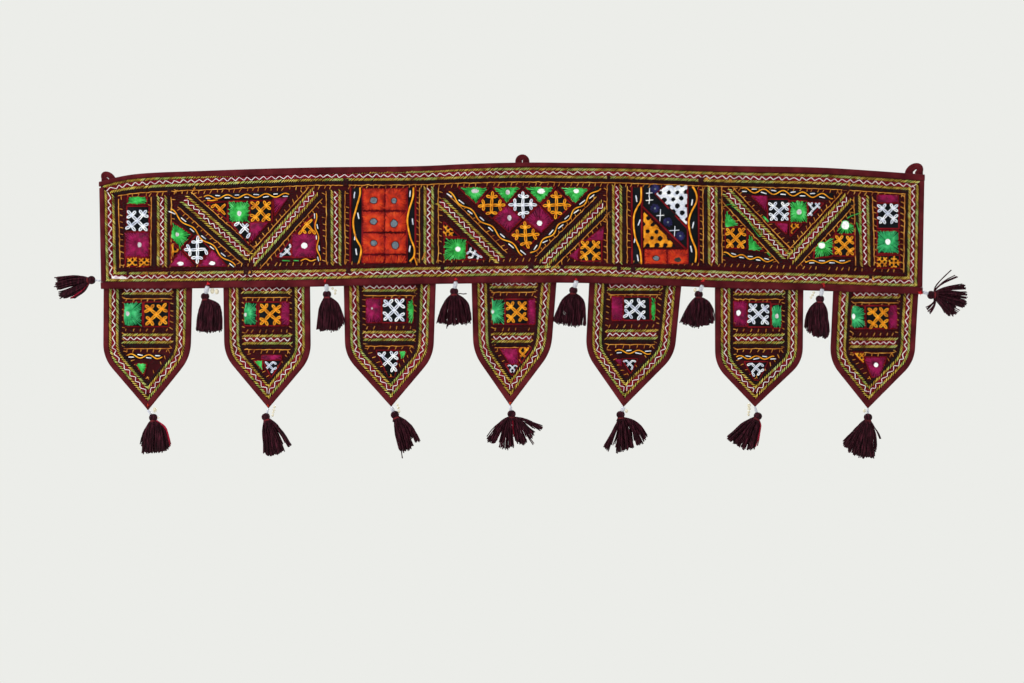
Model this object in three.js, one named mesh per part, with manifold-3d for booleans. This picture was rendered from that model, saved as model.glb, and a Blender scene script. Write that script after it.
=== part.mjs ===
// A door hanging (toran) of embroidered patchwork cloth. A long band hangs by three loops,
// seven pointed flags are sewn behind its lower edge, and every raw edge is bound with a folded
// strip. A yarn tassel hangs from a bead at each flag's point, between each two flags and at
// each end of the band. Millimetres; +X along the band, +Z up, +Y towards the wall behind it.
// The origin is the middle of the band's top edge, halfway through the cloth.
import * as THREE from "three";
import { mergeVertices } from "three/addons/utils/BufferGeometryUtils.js";
import Module from "manifold-3d";

const wasm = await Module();
wasm.setup();

// Cloth and binding
const PANEL_THICKNESS = 1.6; // base cloth, patches and backing, sewn flat together
const BINDING_THICKNESS = 1.0; // a folded strip, two layers of thin cotton
const GAP = 0.3; // between two pieces that are sewn together
const CHANNEL_GAP = 0.55; // inside the folded binding, where both curve with the cloth
const BINDING_WIDTH = { top: 7.5, foot: 7, side: 6.2, flag: 6.6 };
const FOLD = 1.4; // the binding's fold, from the outline to the inside of the channel
const PANEL_INSET = FOLD + CHANNEL_GAP;
const CHANNEL = PANEL_THICKNESS / 2 + CHANNEL_GAP; // half the gap between the binding's two leaves
const BOUND_HALF = CHANNEL + BINDING_THICKNESS; // half the whole thickness of a bound edge

// How the band hangs in front of the wall
const BAND_DROP = 144;
const LEAN = 6; // how far the band's lower edge stands in front of its top edge
const RIPPLES = [
  { height: 2.2, length: 295 },
  { height: 1.3, length: 182 },
];
const TOP_RIPPLE = 0.35; // share of the ripples left at the stretched top edge
const TUCK = 2 * BOUND_HALF + 1; // the flags hang this far behind the band's lower edge
const TUCK_DEPTH = 7; // how much of a flag is hidden behind the band
const FLAG_DROP = 118;

// Stations along the band, from its left end to its right end
const BAND_EDGES = [
  { topX: -508, topZ: -23.5, footX: -503.5, footZ: -152.6 },
  { topX: -462, topZ: -13.8, footX: -459, footZ: -152.4 },
  { topX: -374, topZ: -9.6, footX: -373, footZ: -151.4 },
  { topX: -250, topZ: -6, footX: -250, footZ: -149.8 },
  { topX: -134, topZ: -4.6, footX: -134, footZ: -147 },
  { topX: -62, topZ: -1.4, footX: -62, footZ: -145.8 },
  { topX: 0, topZ: 0, footX: 0, footZ: -145.1 },
  { topX: 62, topZ: -0.6, footX: 62, footZ: -145.3 },
  { topX: 130, topZ: -1.1, footX: 130, footZ: -147 },
  { topX: 250, topZ: -3.9, footX: 250, footZ: -151.6 },
  { topX: 350, topZ: -5.9, footX: 350, footZ: -154.6 },
  { topX: 418, topZ: -9.8, footX: 416, footZ: -157 },
  { topX: 484.5, topZ: -14.4, footX: 480.5, footZ: -158.6 },
];

// Each flag's two top corners, two shoulders and point. forward is how far its point stands out,
// twist how far its right edge comes forward and its left edge goes back, cup how far both do.
const FLAGS = [
  {
    name: "flag_1", leftTop: -502.3, rightTop: -397.5, footZ: -151, leftX: -501.5, leftZ: -234.8,
    rightX: -396.2, rightZ: -234, tipX: -446.6, tipZ: -297.4, forward: 5, twist: 5, cup: 3,
  },
  {
    name: "flag_2", leftTop: -359.8, rightTop: -255, footZ: -149.6, leftX: -357.5, leftZ: -232.1,
    rightX: -252.4, rightZ: -235, tipX: -303.1, tipZ: -295.3, forward: 3, twist: 3, cup: 2.5,
  },
  {
    name: "flag_3", leftTop: -214.5, rightTop: -103.5, footZ: -147.4, leftX: -212.2, leftZ: -232.1,
    rightX: -106, rightZ: -233.5, tipX: -156.3, tipZ: -293.3, forward: 4, twist: 4, cup: 2,
  },
  {
    name: "flag_4", leftTop: -61, rightTop: 42.2, footZ: -143.2, leftX: -58.5, leftZ: -228.8,
    rightX: 34.8, rightZ: -227.4, tipX: -14.2, tipZ: -292.6, forward: 1, twist: 1.5, cup: 4,
  },
  {
    name: "flag_5", leftTop: 81, rightTop: 193, footZ: -146.1, leftX: 76.2, leftZ: -228.4,
    rightX: 182.4, rightZ: -232.4, tipX: 121.4, tipZ: -293.6, forward: 3, twist: 2.5, cup: 2,
  },
  {
    name: "flag_6", leftTop: 232.3, rightTop: 338.6, footZ: -151.6, leftX: 230.8, leftZ: -243.6,
    rightX: 336.4, rightZ: -239.8, tipX: 278.6, tipZ: -293.6, forward: 4, twist: -3, cup: 2.5,
  },
  {
    name: "flag_7", leftTop: 374.2, rightTop: 478, footZ: -155.8, leftX: 367.6, leftZ: -238.8,
    rightX: 471.4, rightZ: -239.8, tipX: 413, tipZ: -295.4, forward: 3, twist: -3.5, cup: 2,
  },
];
const SHOULDER_ROUND = 17; // length of side that each rounded shoulder takes

// Tassels. sewn is where the thread leaves the cloth and head the middle of the knotted head.
// lean is the skirt's angle from straight down, width and length its size, and bell how round
// its sides are, from 0 for a straight fan to 1 for a full bell.
const TASSELS = [
  { name: "flag_1", sewnX: -446.6, sewnZ: -297.6, headX: -440.4, headZ: -306.4, lean: 5, width: 31, length: 42, bell: 0.8 },
  { name: "flag_2", sewnX: -303.2, sewnZ: -295.5, headX: -306.4, headZ: -305.6, lean: 19, width: 28, length: 44, bell: 0.4 },
  { name: "flag_3", sewnX: -156.2, sewnZ: -293.5, headX: -151.9, headZ: -303, lean: 22, width: 25, length: 44, bell: 0.4 },
  { name: "flag_4", sewnX: -14.1, sewnZ: -292.8, headX: -12.6, headZ: -302.4, lean: 0, width: 66, length: 44, bell: 0.1 },
  { name: "flag_5", sewnX: 121.3, sewnZ: -293.8, headX: 117.8, headZ: -303, lean: 5, width: 47, length: 44, bell: 0.4 },
  { name: "flag_6", sewnX: 278.7, sewnZ: -293.8, headX: 282, headZ: -304.6, lean: -28, width: 33, length: 43, bell: 0.6 },
  { name: "flag_7", sewnX: 413, sewnZ: -295.6, headX: 413.2, headZ: -306, lean: -6, width: 43, length: 46, bell: 0.4 },
  { name: "gap_1", sewnX: -377.4, sewnZ: -152.1, headX: -380.6, headZ: -161.4, lean: 6, width: 34, length: 41, bell: 0.9 },
  { name: "gap_2", sewnX: -233.8, sewnZ: -150.3, headX: -233.8, headZ: -159, lean: 3, width: 32, length: 43, bell: 0.8 },
  { name: "gap_3", sewnX: -79.8, sewnZ: -146.8, headX: -81.6, headZ: -155.4, lean: 2, width: 42, length: 41, bell: 0.6 },
  { name: "gap_4", sewnX: 64.1, sewnZ: -146, headX: 61.4, headZ: -154.4, lean: -4, width: 38, length: 41, bell: 0.8 },
  { name: "gap_5", sewnX: 214.8, sewnZ: -151, headX: 212, headZ: -159, lean: -2, width: 41, length: 40, bell: 0.7 },
  { name: "gap_6", sewnX: 358.1, sewnZ: -155.7, headX: 356.8, headZ: -164.6, lean: -4, width: 29, length: 43, bell: 0.9 },
  { name: "left_end", sewnX: -505, sewnZ: -142.6, headX: -515.4, headZ: -141.8, lean: -80, width: 28, length: 43, bell: 0.9 },
  { name: "right_end", sewnX: 481.8, sewnZ: -156, headX: 491.4, headZ: -159.6, lean: 86, width: 47, length: 42, bell: 0.3 },
];
const HEAD_RADIUS = 4.4;
const NECK_RADIUS = 3.1;
const SHOULDER_RADIUS = 5.4;
const HEAD_SIDES = 8;
const BEAD = { radius: 2.9, ends: 1.7, sides: 7 };
const STRANDS = { outer: 10, inner: 4, innerShare: 0.45, root: 1.2, end: 2.5, sides: 3, steps: 2, uneven: 0.05 };
const SKIRT_START = 6.5; // below the middle of the head, inside its knot
const SKIRT_FLATNESS = 0.62; // depth of a skirt against its width, beside the wall

// Hanging loops of folded strip, at the band's corners and over its middle
const LOOPS = [
  { name: "left", x: -498, z: -21.5, halfWidth: 8.6, width: 5.6, height: 11, lean: -1 },
  { name: "middle", x: 0.5, z: 0, halfWidth: 8.6, width: 5.6, height: 10.4, lean: 0 },
  { name: "right", x: 472.4, z: -13.4, halfWidth: 10.2, width: 7, height: 13, lean: 1 },
];
const LOOP = { thickness: 2.2, crown: 0.8, legs: 11, legShare: 0.15, steps: 14 };

const COLOURS = {
  patchwork: { color: 0x4a2a1a, roughness: 0.9 },
  binding: { color: 0x4f1622, roughness: 0.85 },
  yarn: { color: 0x2e0a14, roughness: 0.95 },
  bead: { color: 0xd9dde0, roughness: 0.25 },
};
const MATERIALS = Object.fromEntries(
  Object.entries(COLOURS).map(([name, look]) => [
    name,
    new THREE.MeshStandardMaterial({ ...look, metalness: 0 }),
  ]),
);

const radians = THREE.MathUtils.degToRad;

// The cloth's mid-surface, as the Y of the point of the band at X and Z
function bandDepth(x, z) {
  const down = -z / BAND_DROP;
  const ripple = RIPPLES.reduce(
    (sum, r) => sum + r.height * Math.sin((2 * Math.PI * x) / r.length),
    0,
  );
  const loose = TOP_RIPPLE + (1 - TOP_RIPPLE) * THREE.MathUtils.clamp(down, 0, 1);
  return -LEAN * down - ripple * loose;
}

// The same for a flag, which starts behind the band and swings forward towards its point
function flagDepth(flag, x, z) {
  const down = Math.max(0, (flag.footZ - z) / FLAG_DROP);
  const middle = THREE.MathUtils.lerp((flag.leftTop + flag.rightTop) / 2, flag.tipX, down);
  const across = (x - middle) / ((flag.rightTop - flag.leftTop) / 2);
  const swing = flag.forward * down ** 1.5;
  const turn = (flag.twist * across + flag.cup * across * across) * Math.min(1, 1.4 * down);
  return bandDepth(x, z) + TUCK - swing - turn;
}

// A closed sheet whose points place(u, v, side) gives: u and v run over it, side is -1 or 1
function sheet(columns, rows, place) {
  const geometry = new THREE.BoxGeometry(1, 2, 1, columns, 1, rows);
  const points = geometry.getAttribute("position");
  for (let i = 0; i < points.count; i++) {
    const p = place(points.getX(i) + 0.5, 0.5 - points.getZ(i), points.getY(i));
    points.setXYZ(i, p.x, p.y, p.z);
  }
  return geometry;
}

// A strip of one cross-section, whose points place(t, s, d) gives: t runs from 0 to 1 along it
function strip(section, steps, place) {
  const geometry = new THREE.ExtrudeGeometry(new THREE.Shape(section), {
    depth: 1,
    steps,
    bevelEnabled: false,
  });
  const points = geometry.getAttribute("position");
  for (let i = 0; i < points.count; i++) {
    const p = place(points.getZ(i), points.getX(i), points.getY(i));
    points.setXYZ(i, p.x, p.y, p.z);
  }
  return geometry;
}

// The folded binding's cross-section: s inwards from the outline, d through the cloth
function channelSection(width) {
  return [
    new THREE.Vector2(width, -BOUND_HALF),
    new THREE.Vector2(width, -CHANNEL),
    new THREE.Vector2(FOLD, -CHANNEL),
    new THREE.Vector2(FOLD, CHANNEL),
    new THREE.Vector2(width, CHANNEL),
    new THREE.Vector2(width, BOUND_HALF),
    new THREE.Vector2(0, BOUND_HALF),
    new THREE.Vector2(0, -BOUND_HALF),
  ];
}

// Turns a geometry's faces round where its placing has mirrored it
function facingOut(geometry) {
  const solid = solidOf(geometry);
  if (solid.volume() >= 0) return geometry;
  const flipped = mergeVertices(bare(geometry), 1e-4);
  const index = flipped.index.array;
  for (let i = 0; i < index.length; i += 3) {
    [index[i + 1], index[i + 2]] = [index[i + 2], index[i + 1]];
  }
  return flipped;
}

function bare(geometry) {
  const copy = geometry.clone();
  copy.deleteAttribute("normal");
  copy.deleteAttribute("uv");
  return copy;
}

function solidOf(geometry) {
  const merged = mergeVertices(bare(geometry), 1e-4);
  return new wasm.Manifold(
    new wasm.Mesh({
      numProp: 3,
      vertProperties: merged.getAttribute("position").array,
      triVerts: new Uint32Array(merged.index.array),
    }),
  );
}

function geometryOf(solid) {
  const mesh = solid.getMesh();
  const geometry = new THREE.BufferGeometry();
  geometry.setAttribute("position", new THREE.BufferAttribute(mesh.vertProperties, 3));
  geometry.setIndex(new THREE.BufferAttribute(mesh.triVerts, 1));
  geometry.computeVertexNormals();
  return geometry;
}

function named(name, geometry, material) {
  const mesh = new THREE.Mesh(facingOut(geometry), MATERIALS[material]);
  mesh.name = name;
  return mesh;
}

// The band
const topCurve = new THREE.SplineCurve(BAND_EDGES.map((e) => new THREE.Vector2(e.topX, e.topZ)));
const footCurve = new THREE.SplineCurve(BAND_EDGES.map((e) => new THREE.Vector2(e.footX, e.footZ)));
const BAND_STEPS = 3 * (BAND_EDGES.length - 1);

// The point of the band at u along it, inset from its top edge and its foot by lengths in mm
function bandPoint(u, fromTop, fromFoot, v, side) {
  const top = topCurve.getPointAt(u);
  const foot = footCurve.getPointAt(u);
  const inwards = foot.clone().sub(top).normalize();
  top.addScaledVector(inwards, fromTop);
  foot.addScaledVector(inwards, -fromFoot);
  const p = top.lerp(foot, v);
  return new THREE.Vector3(p.x, bandDepth(p.x, p.y) + side, p.y);
}

// Share of the band's length that an inset from one end takes
const bandLength = topCurve.getLength();
const endShare = (inset) => inset / bandLength;

function bandPanel() {
  const inset = endShare(PANEL_INSET);
  return sheet(BAND_STEPS, 5, (u, v, side) =>
    bandPoint(
      THREE.MathUtils.lerp(inset, 1 - inset, u),
      PANEL_INSET,
      PANEL_INSET,
      v,
      (side * PANEL_THICKNESS) / 2,
    ),
  );
}

function bandLongBinding(atTop) {
  const width = atTop ? BINDING_WIDTH.top : BINDING_WIDTH.foot;
  return strip(channelSection(width), BAND_STEPS, (t, s, d) =>
    atTop ? bandPoint(t, s, 0, 0, d) : bandPoint(t, 0, s, 1, d),
  );
}

function bandEndBinding(atLeft) {
  return strip(channelSection(BINDING_WIDTH.side), 7, (t, s, d) =>
    bandPoint(
      atLeft ? endShare(s) : 1 - endShare(s),
      BINDING_WIDTH.top + GAP,
      BINDING_WIDTH.foot + GAP,
      t,
      d,
    ),
  );
}

// A flag's outline, down its left side to the point and up its right side
const SIDE_STEPS = 10;
function flagOutline(flag) {
  const side = (topX, shoulderX, shoulderZ) => {
    const top = new THREE.Vector2(topX, flag.footZ + TUCK_DEPTH);
    const shoulder = new THREE.Vector2(shoulderX, shoulderZ);
    const tip = new THREE.Vector2(flag.tipX, flag.tipZ);
    const above = shoulder.clone().lerp(top, SHOULDER_ROUND / shoulder.distanceTo(top));
    const below = shoulder.clone().lerp(tip, SHOULDER_ROUND / shoulder.distanceTo(tip));
    const path = new THREE.Path();
    path.moveTo(top.x, top.y);
    path.lineTo(above.x, above.y);
    path.quadraticCurveTo(shoulder.x, shoulder.y, below.x, below.y);
    path.lineTo(tip.x, tip.y);
    return path.getSpacedPoints(SIDE_STEPS);
  };
  const left = side(flag.leftTop, flag.leftX, flag.leftZ);
  const right = side(flag.rightTop, flag.rightX, flag.rightZ);
  return [...left, ...right.reverse().slice(1)];
}

// For each point of an outline, the mitred way inwards, so that an inset keeps its width
function mitres(outline) {
  return outline.map((point, i) => {
    const before = outline[i - 1] ?? point;
    const after = outline[i + 1] ?? point;
    const sides = [
      [before, point],
      [point, after],
    ]
      .filter(([a, b]) => a !== b)
      .map(([a, b]) => b.clone().sub(a).normalize())
      .map((along) => new THREE.Vector2(-along.y, along.x));
    const first = sides[0];
    const last = sides[sides.length - 1];
    return first.clone().add(last).divideScalar(1 + first.dot(last));
  });
}

function flagBinding(flag) {
  const outline = flagOutline(flag);
  const inwards = mitres(outline);
  const steps = outline.length - 1;
  return strip(channelSection(BINDING_WIDTH.flag), steps, (t, s, d) => {
    const i = Math.round(t * steps);
    const p = outline[i].clone().addScaledVector(inwards[i], s);
    return new THREE.Vector3(p.x, flagDepth(flag, p.x, p.y) + d, p.y);
  });
}

const PANEL_TIP = 0.84; // the panel stops this far along the last step, inside the folded point
function flagPanel(flag) {
  const outline = flagOutline(flag);
  const inwards = mitres(outline);
  const inset = outline.map((p, i) => p.clone().addScaledVector(inwards[i], PANEL_INSET));
  const tip = inset[SIDE_STEPS];
  const edge = (i, order) => {
    const point = inset[order(i)];
    return i < SIDE_STEPS ? point : inset[order(i - 1)].clone().lerp(tip, PANEL_TIP);
  };
  return sheet(4, SIDE_STEPS, (u, v, side) => {
    const i = Math.round(v * SIDE_STEPS);
    const left = edge(i, (k) => k);
    const right = edge(i, (k) => outline.length - 1 - k);
    const p = left.clone().lerp(right, u);
    const y = flagDepth(flag, p.x, p.y) + (side * PANEL_THICKNESS) / 2;
    return new THREE.Vector3(p.x, y, p.y);
  });
}

// Tassels, each built hanging straight down from the middle of its head
function tasselHead() {
  const profile = [
    [0, HEAD_RADIUS],
    [HEAD_RADIUS * 0.75, HEAD_RADIUS * 0.68],
    [HEAD_RADIUS, 0],
    [NECK_RADIUS, -HEAD_RADIUS],
    [SHOULDER_RADIUS, -HEAD_RADIUS * 1.7],
    [SHOULDER_RADIUS * 0.8, -HEAD_RADIUS * 2.8],
    [0, -HEAD_RADIUS * 2.9],
  ];
  const points = profile.map(([r, z]) => new THREE.Vector2(r, z)).reverse();
  return new THREE.LatheGeometry(points, HEAD_SIDES).rotateX(Math.PI / 2);
}

// One lock of the skirt: turn is where it stands round the head, and reach how far out it ends
function tasselStrand(turn, reach, length, bell) {
  const { root, end, sides, steps } = STRANDS;
  const geometry = new THREE.CylinderGeometry(root, end, 1, sides, steps);
  const outwards = new THREE.Vector3(Math.cos(turn), Math.sin(turn), 0);
  const beside = new THREE.Vector3(-Math.sin(turn), Math.cos(turn), 0);
  const down = new THREE.Vector3(0, 0, -1);
  const drop = Math.sqrt(length ** 2 - reach ** 2);
  const centreAt = (t) =>
    outwards
      .clone()
      .multiplyScalar(reach * THREE.MathUtils.lerp(t, Math.sin((Math.PI * t) / 2), bell))
      .addScaledVector(down, SKIRT_START + drop * t);
  const points = geometry.getAttribute("position");
  for (let i = 0; i < points.count; i++) {
    const t = 0.5 - points.getY(i);
    const along = centreAt(t + 0.05).sub(centreAt(t - 0.05)).normalize();
    const thick = new THREE.Vector3().crossVectors(beside, along);
    const p = centreAt(t)
      .addScaledVector(thick, points.getX(i))
      .addScaledVector(beside, points.getZ(i));
    points.setXYZ(i, p.x, p.y, p.z);
  }
  return geometry;
}

function tasselGeometry(tassel) {
  const reach = tassel.width / 2 - STRANDS.end;
  const length = tassel.length - SKIRT_START;
  let solid = solidOf(tasselHead());
  const rings = [
    { count: STRANDS.outer, share: 1, shift: 0.3 },
    { count: STRANDS.inner, share: STRANDS.innerShare, shift: 0.9 },
  ];
  for (const ring of rings) {
    for (let k = 0; k < ring.count; k++) {
      const turn = (2 * Math.PI * (k + ring.shift)) / ring.count;
      const uneven = 1 - STRANDS.uneven * (1 + Math.sin(5 * k + tassel.sewnX));
      const strand = tasselStrand(turn, reach * ring.share, length * uneven, tassel.bell);
      solid = solid.add(solidOf(facingOut(strand)));
    }
  }
  return geometryOf(solid).scale(1, SKIRT_FLATNESS, 1);
}

// The Y of the cloth where a tassel is sewn on
function sewnDepth(tassel) {
  const flag = FLAGS.find((each) => each.name === tassel.name);
  return flag
    ? flagDepth(flag, flag.tipX, flag.tipZ)
    : bandDepth(tassel.sewnX, tassel.sewnZ);
}

function tasselMesh(tassel) {
  const mesh = named(`tassel_${tassel.name}`, tasselGeometry(tassel), "yarn");
  mesh.position.set(tassel.headX, sewnDepth(tassel), tassel.headZ);
  mesh.rotation.y = -radians(tassel.lean);
  return mesh;
}

// A bead fills the thread between the cloth and the tassel's head
function beadMesh(tassel) {
  const sewn = new THREE.Vector2(tassel.sewnX, tassel.sewnZ);
  const head = new THREE.Vector2(tassel.headX, tassel.headZ);
  const along = head.clone().sub(sewn);
  const whole = along.length();
  along.normalize();
  const length = whole - HEAD_RADIUS - 2 * GAP;
  const middle = sewn.clone().addScaledVector(along, GAP + length / 2);
  const { radius, ends, sides } = BEAD;
  const profile = [
    [0, -length / 2],
    [ends, -length / 2],
    [radius, -length / 5],
    [radius, length / 5],
    [ends, length / 2],
    [0, length / 2],
  ].map(([r, z]) => new THREE.Vector2(r, z));
  const mesh = named(`bead_${tassel.name}`, new THREE.LatheGeometry(profile, sides), "bead");
  mesh.position.set(middle.x, sewnDepth(tassel), middle.y);
  mesh.quaternion.setFromUnitVectors(
    new THREE.Vector3(0, 1, 0),
    new THREE.Vector3(-along.x, 0, -along.y),
  );
  return mesh;
}

// A loop: an arch of folded strip whose two legs are sewn to the back of the top binding
function loopMesh(loop) {
  const { thickness, crown, legs, legShare, steps } = LOOP;
  const section = [
    new THREE.Vector2(0, -thickness / 2),
    new THREE.Vector2(loop.width, -thickness / 2),
    new THREE.Vector2(loop.width, thickness / 2),
    new THREE.Vector2(0, thickness / 2),
  ];
  const rise = loop.height - loop.halfWidth;
  const depth = bandDepth(loop.x, loop.z) + BOUND_HALF + 2 * GAP + thickness / 2;
  const geometry = strip(section, steps, (t, s, d) => {
    const turn = Math.PI * THREE.MathUtils.clamp((t - legShare) / (1 - 2 * legShare), 0, 1);
    const down = (Math.max(0, legShare - t, t - 1 + legShare) / legShare) * (legs + rise);
    const arch = (loop.halfWidth - s * crown) * Math.sin(turn);
    const x = loop.x - (loop.halfWidth - s) * Math.cos(turn) + loop.lean * Math.sin(turn);
    return new THREE.Vector3(x, depth + d, loop.z + rise + arch - down);
  });
  return named(`loop_${loop.name}`, geometry, "binding");
}

const hanging = new THREE.Group();
hanging.add(named("band_patchwork", bandPanel(), "patchwork"));
hanging.add(named("band_binding_top", bandLongBinding(true), "binding"));
hanging.add(named("band_binding_foot", bandLongBinding(false), "binding"));
hanging.add(named("band_binding_left", bandEndBinding(true), "binding"));
hanging.add(named("band_binding_right", bandEndBinding(false), "binding"));
FLAGS.forEach((flag) => {
  hanging.add(named(`${flag.name}_patchwork`, flagPanel(flag), "patchwork"));
  hanging.add(named(`${flag.name}_binding`, flagBinding(flag), "binding"));
});
LOOPS.forEach((loop) => hanging.add(loopMesh(loop)));
TASSELS.forEach((tassel) => hanging.add(beadMesh(tassel), tasselMesh(tassel)));

export default hanging;
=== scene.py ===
import math
from collections import namedtuple

import bpy
import numpy as np
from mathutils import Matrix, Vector


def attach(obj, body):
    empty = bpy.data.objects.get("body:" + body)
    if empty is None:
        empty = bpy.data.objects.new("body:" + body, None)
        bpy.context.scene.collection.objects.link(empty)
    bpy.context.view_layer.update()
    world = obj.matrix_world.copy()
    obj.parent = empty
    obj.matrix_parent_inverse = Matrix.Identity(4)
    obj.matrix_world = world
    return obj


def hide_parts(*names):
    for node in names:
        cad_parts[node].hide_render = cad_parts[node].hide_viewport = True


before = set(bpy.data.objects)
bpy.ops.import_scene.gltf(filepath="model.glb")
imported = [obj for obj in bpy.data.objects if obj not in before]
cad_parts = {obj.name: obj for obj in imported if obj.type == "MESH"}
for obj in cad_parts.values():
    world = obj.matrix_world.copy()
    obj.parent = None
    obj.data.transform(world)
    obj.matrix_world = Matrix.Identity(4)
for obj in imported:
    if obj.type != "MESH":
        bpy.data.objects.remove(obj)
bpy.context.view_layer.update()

# A door hanging of embroidered patchwork. Every length below is in millimetres, in the frame's
# axes: X along the band, Z up, and Y towards the wall, so the embroidery faces -Y.
MM = 0.001
rng = np.random.default_rng(11)

# Camera, straight in front of the hanging and a little left of its middle
LENS = 50
SENSOR = 36
IMAGE = (1024, 683)
SCALE = 1.2  # millimetres of cloth for each pixel of the image
CAMERA_X = -12
CAMERA_Z = -215.4
CLOTH_Y = -5  # mean depth of the cloth

camera_data = bpy.data.cameras.new("camera")
camera_data.lens = LENS
camera_data.sensor_width = SENSOR
camera_data.clip_end = 50
camera = bpy.data.objects.new("camera", camera_data)
bpy.context.scene.collection.objects.link(camera)
camera_distance = IMAGE[0] * SCALE * LENS / SENSOR
camera.location = np.array([CAMERA_X, CLOTH_Y - camera_distance, CAMERA_Z]) * MM
camera.rotation_euler = (math.pi / 2, 0, 0)
bpy.context.scene.camera = camera

# Cloth and binding, as in the solids
PANEL_HALF = 0.8
CHANNEL = PANEL_HALF + 0.55
BOUND_HALF = CHANNEL + 1.0
FOLD = 1.4
PANEL_INSET = FOLD + 0.55
TOP_BINDING = 7.5
FOOT_BINDING = 8.2
SIDE_BINDING = 6.2
FLAG_BINDING = 6.6
GAP = 0.3

# How the band hangs
BAND_DROP = 144
LEAN = 6
RIPPLES = [(2.2, 295), (1.3, 182)]  # height and length
TOP_RIPPLE = 0.35
TUCK = 2 * BOUND_HALF + 1
TUCK_DEPTH = 7
FLAG_DROP = 118
SHOULDER_ROUND = 17

Station = namedtuple("Station", "top_x top_z foot_x foot_z")
BAND_EDGES = [
    Station(-508, -23.5, -503.5, -152.6),
    Station(-462, -13.8, -459, -152.4),
    Station(-374, -9.6, -373, -151.4),
    Station(-250, -6, -250, -149.8),
    Station(-134, -4.6, -134, -147),
    Station(-62, -1.4, -62, -145.8),
    Station(0, 0, 0, -145.1),
    Station(62, -0.6, 62, -145.3),
    Station(130, -1.1, 130, -147),
    Station(250, -3.9, 250, -151.6),
    Station(350, -5.9, 350, -154.6),
    Station(418, -9.8, 416, -157),
    Station(484.5, -14.4, 480.5, -158.6),
]

Flag = namedtuple(
    "Flag",
    "name left_top right_top foot_z left_x left_z right_x right_z tip_x tip_z forward twist cup",
)
FLAGS = [
    Flag("flag_1", -502.3, -397.5, -151, -501.5, -234.8, -396.2, -234, -446.6, -297.4, 5, 5, 3),
    Flag("flag_2", -359.8, -255, -149.6, -357.5, -232.1, -252.4, -235, -303.1, -295.3, 3, 3, 2.5),
    Flag("flag_3", -214.5, -103.5, -147.4, -212.2, -232.1, -106, -233.5, -156.3, -293.3, 4, 4, 2),
    Flag("flag_4", -61, 42.2, -143.2, -58.5, -228.8, 34.8, -227.4, -14.2, -292.6, 1, 1.5, 4),
    Flag("flag_5", 81, 193, -146.1, 76.2, -228.4, 182.4, -232.4, 121.4, -293.6, 3, 2.5, 2),
    Flag("flag_6", 232.3, 338.6, -151.6, 230.8, -243.6, 336.4, -239.8, 278.6, -293.6, 4, -3, 2.5),
    Flag("flag_7", 374.2, 478, -155.8, 367.6, -238.8, 471.4, -239.8, 413, -295.4, 3, -3.5, 2),
]

Tassel = namedtuple("Tassel", "name sewn_x sewn_z head_x head_z lean")
TASSELS = [
    Tassel("flag_1", -446.6, -297.6, -440.4, -306.4, 5),
    Tassel("flag_2", -303.2, -295.5, -306.4, -305.6, 19),
    Tassel("flag_3", -156.2, -293.5, -151.9, -303, 22),
    Tassel("flag_4", -14.1, -292.8, -12.6, -302.4, 0),
    Tassel("flag_5", 121.3, -293.8, 117.8, -303, 5),
    Tassel("flag_6", 278.7, -293.8, 282, -304.6, -28),
    Tassel("flag_7", 413, -295.6, 413.2, -306, -6),
    Tassel("gap_1", -377.4, -152.1, -380.6, -161.4, 6),
    Tassel("gap_2", -233.8, -150.3, -233.8, -159, 3),
    Tassel("gap_3", -79.8, -146.8, -81.6, -155.4, 2),
    Tassel("gap_4", 64.1, -146, 61.4, -154.4, -4),
    Tassel("gap_5", 214.8, -151, 212, -159, -2),
    Tassel("gap_6", 358.1, -155.7, 356.8, -164.6, -4),
    Tassel("left_end", -505, -142.6, -515.4, -141.8, -80),
    Tassel("right_end", 481.8, -156, 491.4, -159.6, 86),
]
HEAD_RADIUS = 4.4
NECK_RADIUS = 3.1
SKIRT_START = 6.5
# The head, which is folded yarn: height above its middle, and radius
HEAD_FOLDS = 16
HEAD_PROFILE = [
    (3.7, 0.4), (3.3, 2.4), (2, 3.8), (0, 4.2), (-1.6, 3.8), (-2.8, 3), (-4.2, 3.4), (-7, 5),
]
NECK_WRAP_HEIGHTS = (-2.5, -3.4, -4.3)

Loop = namedtuple("Loop", "name x z half_width width height lean")
LOOPS = [
    Loop("left", -498, -21.5, 8.6, 8.2, 11, -3),
    Loop("middle", 0.5, 0, 8.6, 8.3, 10.4, 0),
    Loop("right", 473, -13.4, 10.8, 9.6, 13.4, 3),
]
LOOP_THICKNESS = 2.2
LOOP_CROWN = 0.8
LOOP_LEGS = 11
LOOP_LEG_SHARE = 0.15


# The cloth's surface
def band_depth(x, z):
    """Y of the middle of the band's cloth."""
    down = -z / BAND_DROP
    ripple = sum(height * np.sin(2 * np.pi * x / length) for height, length in RIPPLES)
    loose = TOP_RIPPLE + (1 - TOP_RIPPLE) * np.clip(down, 0, 1)
    return -LEAN * down - ripple * loose


def flag_depth(flag, x, z):
    """Y of the middle of a flag's cloth."""
    down = np.maximum(0, (flag.foot_z - z) / FLAG_DROP)
    top_middle = (flag.left_top + flag.right_top) / 2
    middle = top_middle + (flag.tip_x - top_middle) * down
    across = (x - middle) / ((flag.right_top - flag.left_top) / 2)
    turn = (flag.twist * across + flag.cup * across**2) * np.minimum(1, 1.4 * down)
    return band_depth(x, z) + TUCK - flag.forward * down**1.5 - turn


PUCKERS = [(0.16, 23, 0.3), (0.14, 14, 1.9), (0.1, 9, 4.1)]  # height, length and direction


def puckers(x, z):
    """How far the stitching draws the cloth in and out."""
    return sum(
        height * np.sin(2 * np.pi * (x * math.cos(turn) + z * math.sin(turn)) / length)
        for height, length, turn in PUCKERS
    )


def box(left, top, right, foot):
    """The corners of an upright rectangle."""
    return [(left, top), (right, top), (right, foot), (left, foot)]


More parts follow.
